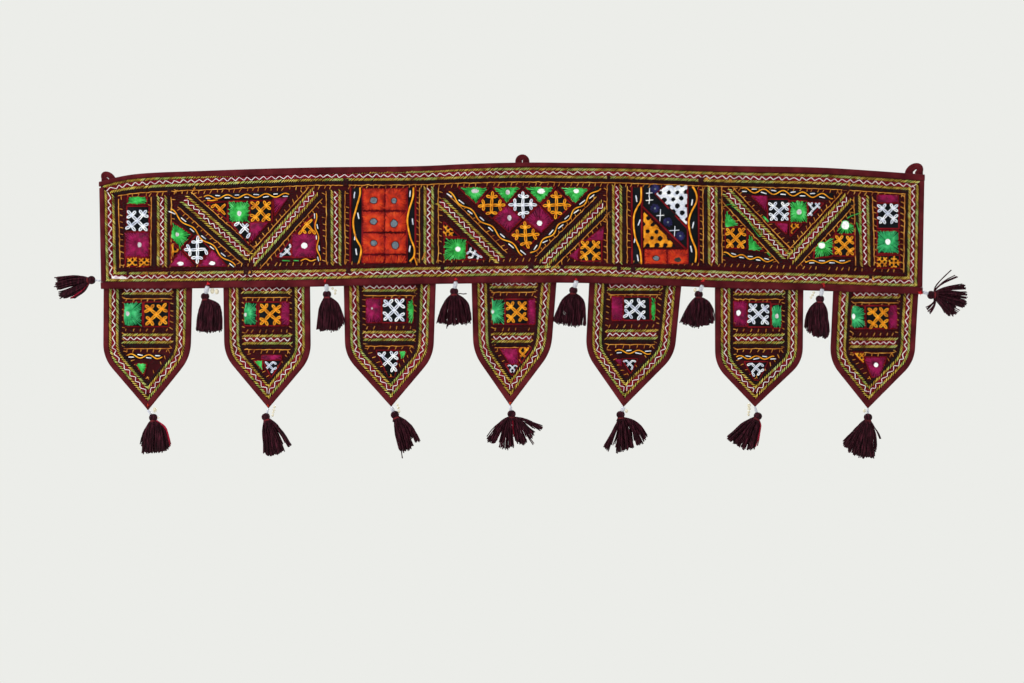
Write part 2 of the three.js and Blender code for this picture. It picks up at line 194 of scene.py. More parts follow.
class Host:
    """A cloth to sew on: front() gives the place of a point at a height above its face."""

    def __init__(self, depth):
        self.depth = depth

    def front(self, flat, height=0.0):
        x, z = flat[..., 0], flat[..., 1]
        y = self.depth(x, z) - PANEL_HALF - puckers(x, z) - height
        return np.stack([x, y, z], axis=-1)


BAND = Host(band_depth)
FLAG_HOSTS = [Host(lambda x, z, flag=flag: flag_depth(flag, x, z)) for flag in FLAGS]


# Meshes, built up from many small bits
class Pile:
    """Points and faces of one joined mesh."""

    def __init__(self):
        self.points = []
        self.faces = {3: [], 4: []}
        self.count = 0

    def add(self, points, *faces):
        points = np.asarray(points, float).reshape(-1, 3)
        for group in faces:
            if len(group):
                group = np.asarray(group, np.int64)
                self.faces[group.shape[1]].append(group + self.count)
        self.points.append(points)
        self.count += len(points)


def make_piece(name, pile, material, slot, replaces=(), smooth=True):
    """A Blender object from a pile, riding on the part."""
    mesh = bpy.data.meshes.new(name)
    points = np.concatenate(pile.points) * MM
    groups = [np.concatenate(pile.faces[k]) for k in (3, 4) if pile.faces[k]]
    loops = np.concatenate([g.ravel() for g in groups])
    totals = np.concatenate([np.full(len(g), g.shape[1]) for g in groups])
    starts = np.concatenate([[0], np.cumsum(totals)[:-1]])
    mesh.vertices.add(len(points))
    mesh.vertices.foreach_set("co", points.ravel())
    mesh.loops.add(len(loops))
    mesh.loops.foreach_set("vertex_index", loops)
    mesh.polygons.add(len(totals))
    mesh.polygons.foreach_set("loop_start", starts)
    mesh.polygons.foreach_set("loop_total", totals)
    mesh.update(calc_edges=True)
    mesh.polygons.foreach_set("use_smooth", np.full(len(totals), smooth))
    mesh.validate()
    mesh.materials.append(material)
    piece = bpy.data.objects.new(name, mesh)
    bpy.context.scene.collection.objects.link(piece)
    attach(piece, "root")
    if replaces:
        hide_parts(*replaces)
    return piece


def unit(vectors):
    return vectors / np.maximum(np.linalg.norm(vectors, axis=-1, keepdims=True), 1e-9)


def add_tubes(pile, centres, radii, sides=4, tip=0.5):
    """Many tubes at once, each along its row of centres, with its ends drawn to a point."""
    centres = np.asarray(centres, float)
    many, steps, _ = centres.shape
    radii = np.broadcast_to(np.asarray(radii, float), (many, steps))
    along = unit(np.gradient(centres, axis=1))
    outwards = np.array([0.0, -1.0, 0.0])
    beside = unit(np.cross(along, outwards))
    upwards = np.cross(beside, along)
    turns = 2 * np.pi * (np.arange(sides) + 0.5) / sides
    ring = (
        beside[:, :, None, :] * np.cos(turns)[None, None, :, None]
        + upwards[:, :, None, :] * np.sin(turns)[None, None, :, None]
    )
    skin = centres[:, :, None, :] + ring * radii[:, :, None, None]
    first = centres[:, 0] - along[:, 0] * radii[:, :1] * tip * 2
    last = centres[:, -1] + along[:, -1] * radii[:, -1:] * tip * 2
    points = np.concatenate([skin.reshape(many, -1, 3), first[:, None], last[:, None]], axis=1)
    block = steps * sides + 2
    k = np.arange(sides)
    following = (k + 1) % sides
    rows = np.arange(steps - 1)[:, None] * sides
    quads = np.stack(
        [rows + k, rows + following, rows + sides + following, rows + sides + k], axis=-1
    ).reshape(-1, 4)
    end = (steps - 1) * sides
    caps = np.concatenate(
        [
            np.stack([following, k, np.full(sides, block - 2)], axis=-1),
            np.stack([end + k, end + following, np.full(sides, block - 1)], axis=-1),
        ]
    )
    shift = (np.arange(many) * block)[:, None, None]
    pile.add(points, (quads + shift).reshape(-1, 4), (caps + shift).reshape(-1, 3))


def lengths_along(path):
    """The length of a path up to each of its points."""
    return np.concatenate([[0], np.cumsum(np.linalg.norm(np.diff(path, axis=0), axis=1))])


def at_lengths(path, lengths, at):
    """Points of a path at some of its lengths."""
    return np.stack([np.interp(at, lengths, path[:, k]) for k in (0, 1)], axis=-1)


def at_share(path, shares):
    """Points of a path at shares of its length."""
    lengths = lengths_along(path)
    return at_lengths(path, lengths, np.asarray(shares) * lengths[-1])


def walk(path, pitch, start=0.0):
    """Points along a path at an even pitch, with their directions."""
    path = np.asarray(path, float)
    lengths = lengths_along(path)
    count = max(2, int(round((lengths[-1] - start) / pitch)))
    points = at_lengths(path, lengths, np.linspace(start, lengths[-1] - start, count))
    return points, unit(np.gradient(points, axis=0))


def sideways(along):
    """The direction to the left of a direction in the cloth's plane."""
    return np.stack([-along[..., 1], along[..., 0]], axis=-1)


# Stitches: each adds to a pile of one colour of thread, on one cloth
Grain = namedtuple("Grain", "pitch width radius slant height")
ROPE = Grain(2.9, 3.1, 0.63, 37, 0.9)
WHIPPING = Grain(2.5, 3.9, 0.74, 62, 0.7)
ZIGZAG_SWING = 2.1
TICK_LEAN = 0.45
SHORTEST_RAY = 1.2
SEED_PITCH = 4.4
SEED_ROWS = 2.7


def jitter(points, way, spread):
    """Points moved a little along a direction, each by its own amount."""
    return points + way * rng.normal(0, spread, (len(points), 1))


def grains(pile, host, points, along, grain):
    """Slanted stitches that cross a line, each raised in its middle."""
    slant = math.radians(grain.slant)
    reach = grain.width / 2 / math.sin(slant)
    way = along * math.cos(slant) + sideways(along) * math.sin(slant)
    shares = np.array([-1.0, 0.0, 1.0])[None, :, None]
    flat = points[:, None] + way[:, None] * reach * 0.9 * shares
    lift = np.array([0.3, 1.0, 0.3]) * grain.height + rng.normal(0, 0.06, (len(points), 3))
    radii = grain.radius * np.array([0.6, 1.0, 0.6]) * rng.uniform(0.85, 1.15, (len(points), 1))
    add_tubes(pile, host.front(flat, lift), radii, tip=0.8)


def rope(work, host, path):
    """A twisted line of two shades of thread, which change along it."""
    points, along = walk(path, ROPE.pitch)
    points = jitter(jitter(points, along, 0.25), sideways(along), 0.14)
    tone = np.sin(np.arange(len(points)) * ROPE.pitch / 16 + rng.uniform(0, 6))
    lime = tone + rng.normal(0, 0.7, len(points)) > 0.45
    for colour, mine in (("gold", ~lime), ("lime", lime)):
        if mine.any():
            grains(work["thread", colour], host, points[mine], along[mine], ROPE)


def whipping(pile, host, path):
    """A line of thick stitches laid almost square across it."""
    points, along = walk(path, WHIPPING.pitch)
    grains(pile, host, jitter(points, along, 0.2), along, WHIPPING)


def thread(pile, host, path, radius, height=0.4, sides=4, wander=0.0):
    """A single thread laid along a path, or wandering a little from side to side of it."""
    flat = np.asarray(path, float)
    if wander:
        flat, along = walk(flat, 3)
        flat = jitter(flat, sideways(along), wander)
    lift = np.full(len(flat), float(height))
    lift[[0, -1]] = 0.05
    add_tubes(pile, host.front(flat, lift)[None], radius, sides=sides)


def stitch(pile, host, middle, way, lift, radius):
    """One straight stitch, which reaches as far to both sides of its middle."""
    flat = np.array([[middle - way, middle, middle + way]])
    add_tubes(pile, host.front(flat, np.array(lift)), radius)


def zigzag(pile, host, path, pitch):
    """A thread that runs from side to side along a path."""
    points, along = walk(path, pitch / 2)
    hand = np.where(np.arange(len(points)) % 2, 1.0, -1.0)[:, None]
    uneven = rng.uniform(0.7, 1.15, (len(points), 1))
    corners = points + sideways(along) * hand * ZIGZAG_SWING * uneven
    corners = jitter(corners, along, pitch * 0.08)
    before = corners[:-1] * 0.9 + corners[1:] * 0.1
    after = corners[:-1] * 0.1 + corners[1:] * 0.9
    flat = np.stack([before, after], axis=1).reshape(-1, 2)
    add_tubes(pile, host.front(flat, 0.95)[None], 0.46)


def ticks(pile, host, path, length, pitch):
    """Short stitches across a path, all to its left."""
    points, along = walk(path, pitch, start=pitch / 2)
    points = jitter(points, along, pitch * 0.08)
    keep = rng.uniform(0, 1, len(points)) > 0.06
    points, along = points[keep], along[keep]
    side = sideways(along)
    reach = length * rng.uniform(0.75, 1.2, (len(points), 1))
    tilt = TICK_LEAN * rng.uniform(0.2, 1.6, (len(points), 1))
    start = points + side * 0.8
    end = start + (side + along * tilt) * reach
    flat = np.stack([start, (start + end) / 2, end], axis=1)
    add_tubes(pile, host.front(flat, np.array([0.1, 0.6, 0.1])), 0.56, sides=3)


def add_strip(pile, lines):
    """A closed strip, from the lines that run along it side by side round its section."""
    grid = np.stack(lines, axis=1)
    rows, columns, _ = grid.shape
    i = np.arange(rows - 1)[:, None] * columns
    j = np.arange(columns)
    a, b = i + j, i + (j + 1) % columns
    quads = np.stack([a, b, b + columns, a + columns], axis=-1).reshape(-1, 4)
    end = (rows - 1) * columns
    first = [[0, c + 1, c] for c in range(1, columns - 1)]
    last = [[end, end + c, end + c + 1] for c in range(1, columns - 1)]
    pile.add(grid, quads, first + last)


def ribbon(pile, host, path, width, height=0.6, pitch=5.0):
    """A flat tape sewn along a path."""
    points, along = walk(path, pitch)
    across = sideways(along) * width
    section = [(-0.5, -0.2), (-0.44, 1.0), (0.44, 1.0), (0.5, -0.2)]
    add_strip(pile, [host.front(points + across * s, height * level) for s, level in section])


def add_lid(pile, rim, top, middle):
    """A low flat shape: its rim, the edge of its top and the middle of its top."""
    n = len(rim)
    k = np.arange(n)
    following = (k + 1) % n
    sides = np.stack([k, following, n + following, n + k], axis=-1)
    fan = np.stack([n + k, n + following, np.full(n, 2 * n)], axis=-1)
    under = [[0, c + 1, c] for c in range(1, n - 1)]
    pile.add(np.concatenate([rim, top, middle[None]]), sides, fan, under)


def patch(pile, host, corners, height=0.6):
    """A flat piece of cloth sewn down by its edge."""
    corners = np.asarray(corners, float)
    middle = corners.mean(axis=0)
    inner = middle + (corners - middle) * 0.97
    add_lid(pile, host.front(corners, -0.15), host.front(inner, height), host.front(middle, height))


def crossings(corners, origin, direction):
    """Distances from origin at which a ray crosses a polygon."""
    found = []
    for a, b in zip(corners, np.roll(corners, -1, axis=0)):
        edge = b - a
        cross = direction[0] * edge[1] - direction[1] * edge[0]
        if abs(cross) < 1e-9:
            continue
        away = a - origin
        distance = (away[0] * edge[1] - away[1] * edge[0]) / cross
        share = (away[0] * direction[1] - away[1] * direction[0]) / cross
        if 0 <= share <= 1 and distance > 0:
            found.append(distance)
    return sorted(found)


def inside(corners, points):
    """Which points lie inside a polygon."""
    result = np.zeros(len(points), bool)
    for a, b in zip(corners, np.roll(corners, -1, axis=0)):
        spans = (a[1] > points[:, 1]) != (b[1] > points[:, 1])
        rise = b[1] - a[1] if b[1] != a[1] else 1e-9
        at = a[0] + (points[:, 1] - a[1]) * (b[0] - a[0]) / rise
        result ^= spans & (points[:, 0] < at)
    return result


def rays(pile, host, corners, origin, hole, spacing, radius, jag):
    """Long stitches from a mirror's rim out to the edge of a patch."""
    corners = np.asarray(corners, float)
    origin = np.asarray(origin, float)
    reach = np.linalg.norm(corners - origin, axis=1).mean()
    count = int(2 * np.pi * reach / spacing)
    paths = []
    for k in range(count):
        turn = 2 * np.pi * (k + rng.uniform(-0.25, 0.25)) / count
        direction = np.array([math.cos(turn), math.sin(turn)])
        found = crossings(corners, origin, direction)
        if not found:
            continue
        start = found[0] if len(found) > 1 else hole
        end = found[-1] * rng.uniform(1 - jag, 1.04)
        if k % 2:
            start = start + (end - start) * rng.uniform(0.05, 0.3)
        if end - start >= SHORTEST_RAY:
            shares = np.linspace(0, 1, 3)[:, None]
            paths.append(origin + direction * (start + (end - start) * shares))
    if paths:
        lift = np.array([1.0, 1.1, 0.55]) + rng.normal(0, 0.1, (len(paths), 3))
        add_tubes(pile, host.front(np.stack(paths), lift), radius)


KNOT_REACH = 0.62  # from the middle to the tip of an arm, for each unit of the knot's size
KNOT_FORK = 0.56  # where an arm forks into its three loops, for each unit of its reach
KNOT_LOOP = 0.4
KNOT_LOOP_WIDTH = 0.2
KNOT_THREAD = 0.047
KNOT_HEIGHT = 1.1


def loop_stitch(base, direction, length, width):
    """The outline of one looped stitch, from its base and back again."""
    turns = np.linspace(-math.pi, math.pi, 9)
    out = (1 + np.cos(turns)) / 2
    across = np.sin(turns) * (0.5 + 0.5 * out)
    side = sideways(direction)
    return base + direction * length * out[:, None] + side * width / 2 * across[:, None]


def knot_cross(pile, host, corners, centre, size, turn):
    """An interlaced cross: four arms of doubled thread, each ending in three looped stitches."""
    corners = np.asarray(corners, float)
    centre = np.asarray(centre, float)
    reach = size * KNOT_REACH
    radius = reach * KNOT_THREAD
    loops = []
    for quarter in range(4):
        angle = math.radians(turn) + math.pi / 4 + quarter * math.pi / 2
        angle = angle + rng.normal(0, 0.05)
        arm = np.array([math.cos(angle), math.sin(angle)])
        fork = centre + arm * reach * KNOT_FORK
        for hand in (-1, 1):
            line, along = walk([centre - arm * radius, fork], 1.6)
            bow = np.sin(np.linspace(0, math.pi, len(line)))[:, None]
            line = line + sideways(along) * hand * radius * (0.8 + 0.7 * bow)
            line = line[inside(corners, line)]
            if len(line) > 2:
                add_tubes(pile, host.front(line, KNOT_HEIGHT)[None], radius, sides=5)
        for bend, length in ((0, 1 - KNOT_FORK), (1.32, KNOT_LOOP), (-1.32, KNOT_LOOP)):
            bend = bend + rng.normal(0, 0.12)
            way = np.array([math.cos(angle + bend), math.sin(angle + bend)])
            length = length * rng.uniform(0.88, 1.06)
            base = fork + way * radius * 0.6
            if inside(corners, (base + way * reach * length * 0.75)[None])[0]:
                loops.append(loop_stitch(base, way, reach * length, reach * KNOT_LOOP_WIDTH))
    if loops:
        add_tubes(pile, host.front(np.stack(loops), KNOT_HEIGHT), radius, sides=5)


def oval(across, tall, turns):
    return np.stack([across * np.cos(turns), tall * np.sin(turns)], axis=-1)


def mirror_disc(pile, host, centre, across, tall, height=1.5):
    """A small disc of mirror, slightly domed."""
    centre = np.asarray(centre, float)
    turns = np.linspace(0, 2 * np.pi, 18, endpoint=False)
    rim = centre + oval(across, tall, turns) * rng.uniform(0.86, 1.08, (18, 1))
    middle = host.front(centre, height + 0.05)
    add_lid(pile, host.front(rim, height - 0.5), host.front(rim, height), middle)


def rim_thread(pile, host, centre, across, tall):
    """A ring of thread round a mirror."""
    uneven = rng.uniform(0.88, 1.08, 14)
    uneven = np.append(uneven, uneven[0])[:, None]
    ring = centre + oval(across, tall, np.linspace(0, 2 * np.pi, 15)) * uneven
    add_tubes(pile, host.front(ring, 1.35)[None], 0.5, sides=5)


def wave(pile, host, row):
    """A wavy line of thick thread."""
    points, along = walk([row.start, row.end], 1.8)
    at = np.linalg.norm(points - points[0], axis=1)
    bend = row.swing * np.cos(2 * np.pi * (at / row.length - row.crest))
    flat = points + sideways(along) * bend[:, None]
    add_tubes(pile, host.front(flat, 1.1)[None], row.radius, sides=5)


def hollow_dashes(pile, host, row):
    """A straight stitch in each hollow of a wavy line, by turns on either side."""
    start, end = np.array(row.start, float), np.array(row.end, float)
    along = unit(end - start)
    side = sideways(along)
    last = np.linalg.norm(end - start)
    turns = np.arange(0, 2 * (last / row.length + 1)) / 2
    at = (turns + row.crest) * row.length
    hand = np.where((2 * turns).astype(int) % 2, 1.0, -1.0)
    fits = (at > 2) & (at < last - 1)
    at, hand = at[fits, None], hand[fits, None]
    middle = start + along * at + side * hand * (0.55 * row.swing + 0.3)
    reach = row.dash / 2 * rng.uniform(0.8, 1.15, (len(at), 1))
    way = unit(along + side * rng.normal(0, 0.12, (len(at), 1)))
    flat = np.stack([middle - way * reach, middle, middle + way * reach], axis=1)
    lift = np.array([0.7, 1.2, 0.7])
    add_tubes(pile, host.front(flat, lift), row.radius * 0.9, sides=5)


def seeding(work, host, lines):
    """Rows of small dark stitches that quilt the bare ground."""
    for line in lines:
        points, along = walk(line, SEED_PITCH)
        side = sideways(along)
        points = points + along * rng.uniform(-1, 1, (len(points), 1))
        points = jitter(points, side, 0.4)
        way = unit(jitter(along, side, 0.45))
        reach = rng.uniform(1.0, 1.7, (len(points), 1))
        flat = np.stack([points - way * reach, points + way * reach], axis=1)
        dark = rng.uniform(0, 1, len(points)) < 0.45
        for colour, mine in (("black", dark), ("maroon", ~dark)):
            if mine.any():
                add_tubes(work["thread", colour], host.front(flat[mine], 0.12), 0.38, sides=3)


# Materials
def srgb(text):
    """Linear colour of a six-digit web colour."""
    values = [int(text[k : k + 2], 16) / 255 for k in (0, 2, 4)]
    linear = [v / 12.92 if v <= 0.04045 else ((v + 0.055) / 1.055) ** 2.4 for v in values]
    return (*linear, 1.0)


def noise(material, scale, detail, stretch=(1, 1, 1)):
    """The output of a noise laid over the object."""
    nodes, links = material.node_tree.nodes, material.node_tree.links
    coordinates = nodes.new("ShaderNodeTexCoord")
    mapping = nodes.new("ShaderNodeMapping")
    mapping.inputs["Scale"].default_value = stretch
    links.new(coordinates.outputs["Object"], mapping.inputs["Vector"])
    texture = nodes.new("ShaderNodeTexNoise")
    texture.inputs["Scale"].default_value = scale
    texture.inputs["Detail"].default_value = detail
    links.new(mapping.outputs["Vector"], texture.inputs["Vector"])
    return texture.outputs["Fac"]


def tinted(name, tint, places, shades, settings):
    """A material whose colour a noise takes through some shades, with its shader's settings."""
    stops = list(zip(places, shades.split()))
    material = bpy.data.materials.new(name)
    material.use_nodes = True
    nodes, links = material.node_tree.nodes, material.node_tree.links
    shader = nodes["Principled BSDF"]
    ramp = nodes.new("ShaderNodeValToRGB")
    links.new(noise(material, *tint), ramp.inputs["Fac"])
    links.new(ramp.outputs["Color"], shader.inputs["Base Color"])
    elements = ramp.color_ramp.elements
    while len(elements) < len(stops):
        elements.new(0.5)
    for element, (place, colour) in zip(elements, stops):
        element.position = place
        element.color = srgb(colour)
    for socket, value in settings.items():
        shader.inputs[socket].default_value = value
    return material


def bump(material, source, strength, distance):
    """Relief on a material's face."""
    nodes, links = material.node_tree.nodes, material.node_tree.links
    relief = nodes.new("ShaderNodeBump")
    relief.inputs["Strength"].default_value = strength
    relief.inputs["Distance"].default_value = distance
    links.new(source, relief.inputs["Height"])
    links.new(relief.outputs["Normal"], nodes["Principled BSDF"].inputs["Normal"])


def thread_material(name, shades, roughness):
    """Twisted thread: its colour changes along it, and fine plies catch the light."""
    settings = {
        "Roughness": roughness,
        "Sheen Weight": 0.02,
        "Sheen Roughness": 0.4,
        "Specular IOR Level": 0.18,
    }
    material = tinted(name, (140, 4), (0.3, 0.5, 0.7), shades, settings)
    bump(material, noise(material, 2600, 2), 0.5, 0.0003)
    return material


WEAVE = 200


def cloth_material(name, shades):
    """Plain-woven cotton: crossing threads as bump, and uneven dye."""
    settings = {"Roughness": 0.9, "Sheen Weight": 0.02, "Specular IOR Level": 0.08}
    material = tinted(name, (60, 5), (0.3, 0.5, 0.72), shades, settings)
    nodes, links = material.node_tree.nodes, material.node_tree.links
    coordinates = nodes.new("ShaderNodeTexCoord")
    add = nodes.new("ShaderNodeMath")
    add.operation = "ADD"
    for number, direction in enumerate("XZ"):
        threads = nodes.new("ShaderNodeTexWave")
        threads.bands_direction = direction
        threads.inputs["Scale"].default_value = WEAVE
        threads.inputs["Distortion"].default_value = 0.6
        threads.inputs["Detail"].default_value = 1
        links.new(coordinates.outputs["Object"], threads.inputs["Vector"])
        links.new(threads.outputs["Fac"], add.inputs[number])
    bump(material, add.outputs["Value"], 0.35, 0.0004)
    return material


def mirror_material(name, shades, roughness):
    """Old silvered glass: cloudy, with a scratched face. Its shades are partly the glass's own tint
    and tarnish and partly painted reflection.
    """
    settings = {"Metallic": 0.25, "Roughness": roughness}
    material = tinted(name, (420, 4), (0.35, 0.65), shades, settings)
    bump(material, noise(material, 900, 3), 0.15, 0.0002)
    return material


def yarn_material(name, shades):
    """Wool yarn: dull, fuzzy and unevenly dyed."""
    settings = {"Roughness": 0.95, "Sheen Weight": 0.05, "Specular IOR Level": 0.08}
    tint = (420, 3, (1, 1, 0.25))
    material = tinted(name, tint, (0.3, 0.5, 0.72), shades, settings)
    bump(material, noise(material, 1500, 4), 0.8, 0.0006)
    return material


def bead_material(name, shades):
    """Cloudy glass."""
    settings = {"Roughness": 0.15, "Transmission Weight": 0.2, "IOR": 1.48}
    return tinted(name, (500, 3), (0.3, 0.7), shades, settings)


THREAD_SHADES = {
    "gold": "70540f ceae3e f0da70",
    "lime": "7c8830 b4c25a dde68e",
    "black": "030304 08080a 121317",
    "pink_white": "d6b2be f2e4e9 ffffff",
    "rust": "8a4512 c8802a e8ac4c",
    "orange": "b4660a e6920e ffb830",
    "white": "b4bcd4 dce0ec ffffff",
    "green": "18842e 32b44a 5ed676",
    "aqua": "18804a 2ca862 58d08a",
    "magenta": "500229 82023f a40c58",
    "orange_red": "8c1806 c02a0a d44816",
    "maroon": "160407 2a070b 3e0d14",
    "wine": "3a0a10 5c141c 7a2028",
    "red": "8a0a10 c41420 e02a30",
    "navy": "0e0e2e 1c1a4c 2c2a66",
}
ROUGH_THREADS = {"black": 0.6, "maroon": 0.7, "wine": 0.7}
CLOTH_SHADES = {
    "ground": "250609 34080d 420b11",
    "crimson": "4c0812 680e1a 7e1524",
    "piping": "4a050a 6a0c14 86161e",
    "ink": "07090c 0d1014 14181e",
    "plum": "1e0212 340622 4a0a30",
    "binding": "3e0a10 4e1319 601c22",
}
# Mirror shades: partly the glass's own tint and tarnish, partly painted reflection, lighter or
# darker as each mirror shows the room.
MIRROR_TINTS_AND_REFLECTIONS = {
    "pale": ("a8a2a8 d6d2d6", 0.4),
    "bright": ("dcdfe2 ffffff", 0.22),
    "smoky": ("46525c 6c7a86", 0.35),
    "dark": ("0c0a08 3a2c1c", 0.3),
}
THREADS = {
    colour: thread_material(f"thread_{colour}", shades, ROUGH_THREADS.get(colour, 0.55))
    for colour, shades in THREAD_SHADES.items()
}
CLOTHS = {name: cloth_material(f"cloth_{name}", shades) for name, shades in CLOTH_SHADES.items()}
MIRRORS = {name: mirror_material(f"mirror_{name}", *row) for name, row in MIRROR_TINTS_AND_REFLECTIONS.items()}
YARN = yarn_material("yarn_maroon", "18050b 2c0b15 4c1c2a")
CRIMSON_YARN = yarn_material("yarn_crimson", "5a0818 8c1028 b82848")
BEAD = bead_material("bead_glass", "a8aab8 e2e4ee")
# The cream beads are a painted caustic: the light and shadow that the glass beads throw on the
# wall, built as beads.
CAUSTIC_CREAM = bead_material("bead_cream", "cfc4a4 efe8d4")
UNDER = {"magenta": "plum", "orange_red": "piping"}
# Long stitches: their spacing, their radius and how uneven they end
RAYS = {"magenta": (1.75, 0.58, 0.12), "orange_red": (1.5, 0.6, 0.06), "navy": (1.2, 0.5, 0.1)}
PLAIN_RAYS = (2.25, 0.6, 0.22)


class Work:
    """All the sewing on the band, or on the flags, one pile for each thread, cloth and mirror."""

    def __init__(self, name):
        self.name = name
        self.piles = {}

    def __getitem__(self, key):
        return self.piles.setdefault(key, Pile())

    def finish(self):
        sources = {
            "thread": (THREADS, "embroidery"),
            "cloth": (CLOTHS, "patchwork"),
            "mirror": (MIRRORS, "mirror_disc"),
        }
        pieces = []
        for (kind, colour), pile in self.piles.items():
            source, slot = sources[kind]
            name = f"{self.name}_{kind}_{colour}"
            pieces.append(make_piece(name, pile, source[colour], slot, smooth=kind != "mirror"))
        return pieces


BAND_WORK = Work("band")
FLAG_WORK = Work("flags")


def spline(points, steps):
    """A smooth curve through points, with some steps between each two."""
    points = np.asarray(points, float)
    padded = np.concatenate([points[:1], points, points[-1:]])
    t = np.linspace(0, 1, steps, endpoint=False)[:, None]
    spans = []
    for p0, p1, p2, p3 in zip(padded, padded[1:], padded[2:], padded[3:]):
        v1 = (p2 - p0) / 2
        v2 = (p3 - p1) / 2
        spans.append(
            (2 * p1 - 2 * p2 + v1 + v2) * t**3
            + (-3 * p1 + 3 * p2 - 2 * v1 - v2) * t**2
            + v1 * t
            + p1
        )
    return np.concatenate([*spans, points[-1:]])


TOP_LINE = spline([(s.top_x, s.top_z) for s in BAND_EDGES], 12)
FOOT_LINE = spline([(s.foot_x, s.foot_z) for s in BAND_EDGES], 12)
BAND_LENGTH = float(np.linalg.norm(np.diff(TOP_LINE, axis=0), axis=1).sum())


def band_flat(shares, from_top=None, from_foot=None):
    """Points across the band at shares of its length, so far below its top or above its foot."""
    shares = np.asarray(shares, float)
    top = at_share(TOP_LINE, shares)
    foot = at_share(FOOT_LINE, shares)
    down = unit(foot - top)
    if from_top is not None:
        return top + down * np.asarray(from_top)[..., None]
    return foot - down * np.asarray(from_foot)[..., None]


def flag_outline(flag, steps):
    """A flag's left side from the top to its point, then its right side back up."""

    def side(top_x, shoulder_x, shoulder_z):
        top = np.array([top_x, flag.foot_z + TUCK_DEPTH])
        shoulder = np.array([shoulder_x, shoulder_z])
        tip = np.array([flag.tip_x, flag.tip_z])
        above = shoulder + unit(top - shoulder) * SHOULDER_ROUND
        below = shoulder + unit(tip - shoulder) * SHOULDER_ROUND
        t = np.linspace(0, 1, 12)[:, None]
        bend = (1 - t) ** 2 * above + 2 * t * (1 - t) * shoulder + t**2 * below
        line = np.concatenate([top[None], bend, tip[None]])
        return at_share(line, np.linspace(0, 1, steps + 1))

    left = side(flag.left_top, flag.left_x, flag.left_z)
    right = side(flag.right_top, flag.right_x, flag.right_z)
    return np.concatenate([left, right[::-1][1:]])


def mitres(outline):
    """The mitred way inwards at each point of an outline."""
    along = unit(np.diff(outline, axis=0))
    normal = np.stack([-along[:, 1], along[:, 0]], axis=-1)
    before = np.concatenate([normal[:1], normal])
    after = np.concatenate([normal, normal[-1:]])
    return (before + after) / (1 + (before * after).sum(axis=1))[:, None]


# The folded binding
def binding_section(width):
    """Outline of a folded strip: its distance in from the edge, and its depth through the cloth."""
    leaf = [
        (width, CHANNEL + 0.1),
        (width - 0.3, BOUND_HALF - 0.3),
        (width - 1.2, BOUND_HALF - 0.05),
        (width * 0.5, BOUND_HALF),
        (1.6, BOUND_HALF - 0.1),
        (0.45, BOUND_HALF - 0.8),
        (0, 0.7),
    ]
    front = [(s, -d) for s, d in leaf]
    back = [(s, d) for s, d in reversed(leaf)]
    inner = [(FOLD, CHANNEL), (FOLD, -CHANNEL)]
    return front + back + inner


def folded_strip(name, width, rows, place, replaced):
    """A folded strip: place(s, d) gives its line of points so far in from the edge, so deep."""
    section = binding_section(width)
    ripple = rng.normal(0, 0.07, (rows, len(section)))
    ripple = (ripple + np.roll(ripple, 1, axis=0) + np.roll(ripple, 2, axis=0)) / 2
    pile = Pile()
    add_strip(pile, [place(s, d + ripple[:, k]) for k, (s, d) in enumerate(section)])
    return make_piece(name, pile, CLOTHS["binding"], "binding", [replaced])


def deep(flat, depth, offset):
    """A flat place and its depth through the cloth, as a point."""
    x, z = flat[..., 0], flat[..., 1]
    return np.stack([x, depth(x, z) + offset, z], axis=-1)


# How far the lines along the top edge rise above their places at its two ends, and how wide the
# binding shows there, against X
TOP_RISE = [
    (-508, 2.8), (-486, 3), (-454, 2.5), (-390, 2.8), (-250, 4), (-130, 3.5), (0, 2.2), (130, 2),
    (210, 0.7), (350, 0.2), (484, 0.3),
]
TOP_BINDING_SHOWS = [
    (-508, 5.8), (-454, 5.4), (-400, 7), (-330, 8.6), (-240, 8), (-120, 7), (-60, 6.2), (0, 5.3),
    (90, 5), (210, 7.2), (484, 7.5),
]
BAND_ROWS = 300
END_ROWS = 40


def along_top(table, shares):
    """Values of a table against X, at shares of the band's length."""
    return np.interp(at_share(TOP_LINE, shares)[:, 0], *np.transpose(table))


def band_edgings():
    """The four folded strips round the band."""
    shares = np.linspace(0, 1, BAND_ROWS)
    down = np.linspace(0, 1, END_ROWS)[:, None]
    narrowed = along_top(TOP_BINDING_SHOWS, shares) / TOP_BINDING

    def top(s, d):
        narrow = np.maximum(s * narrowed, min(s, PANEL_INSET))
        over = d * np.maximum(narrowed, 1) ** 2  # over the braid that it covers
        return deep(band_flat(shares, from_top=narrow), band_depth, over)

    def foot(s, d):
        return deep(band_flat(shares, from_foot=s), band_depth, d)

    def end(share, d):
        high = band_flat(share, from_top=TOP_BINDING + GAP)
        low = band_flat(share, from_foot=FOOT_BINDING + GAP)
        return deep(high + (low - high) * down, band_depth, d)

    strips = [
        ("top", TOP_BINDING, BAND_ROWS, top),
        ("foot", FOOT_BINDING, BAND_ROWS, foot),
        ("left", SIDE_BINDING, END_ROWS, lambda s, d: end(s / BAND_LENGTH, d)),
        ("right", SIDE_BINDING, END_ROWS, lambda s, d: end(1 - s / BAND_LENGTH, d)),
    ]
    return [
        folded_strip(f"edging_{name}", width, rows, place, f"band_binding_{name}")
        for name, width, rows, place in strips
    ]


FLAG_STEPS = 44


def flag_edging(flag, host):
    outline = flag_outline(flag, FLAG_STEPS)
    inwards = mitres(outline)

    def place(s, d):
        return deep(outline + inwards * s, host.depth, d)

    return folded_strip(
        f"{flag.name}_edging", FLAG_BINDING, len(outline), place, f"{flag.name}_binding"
    )


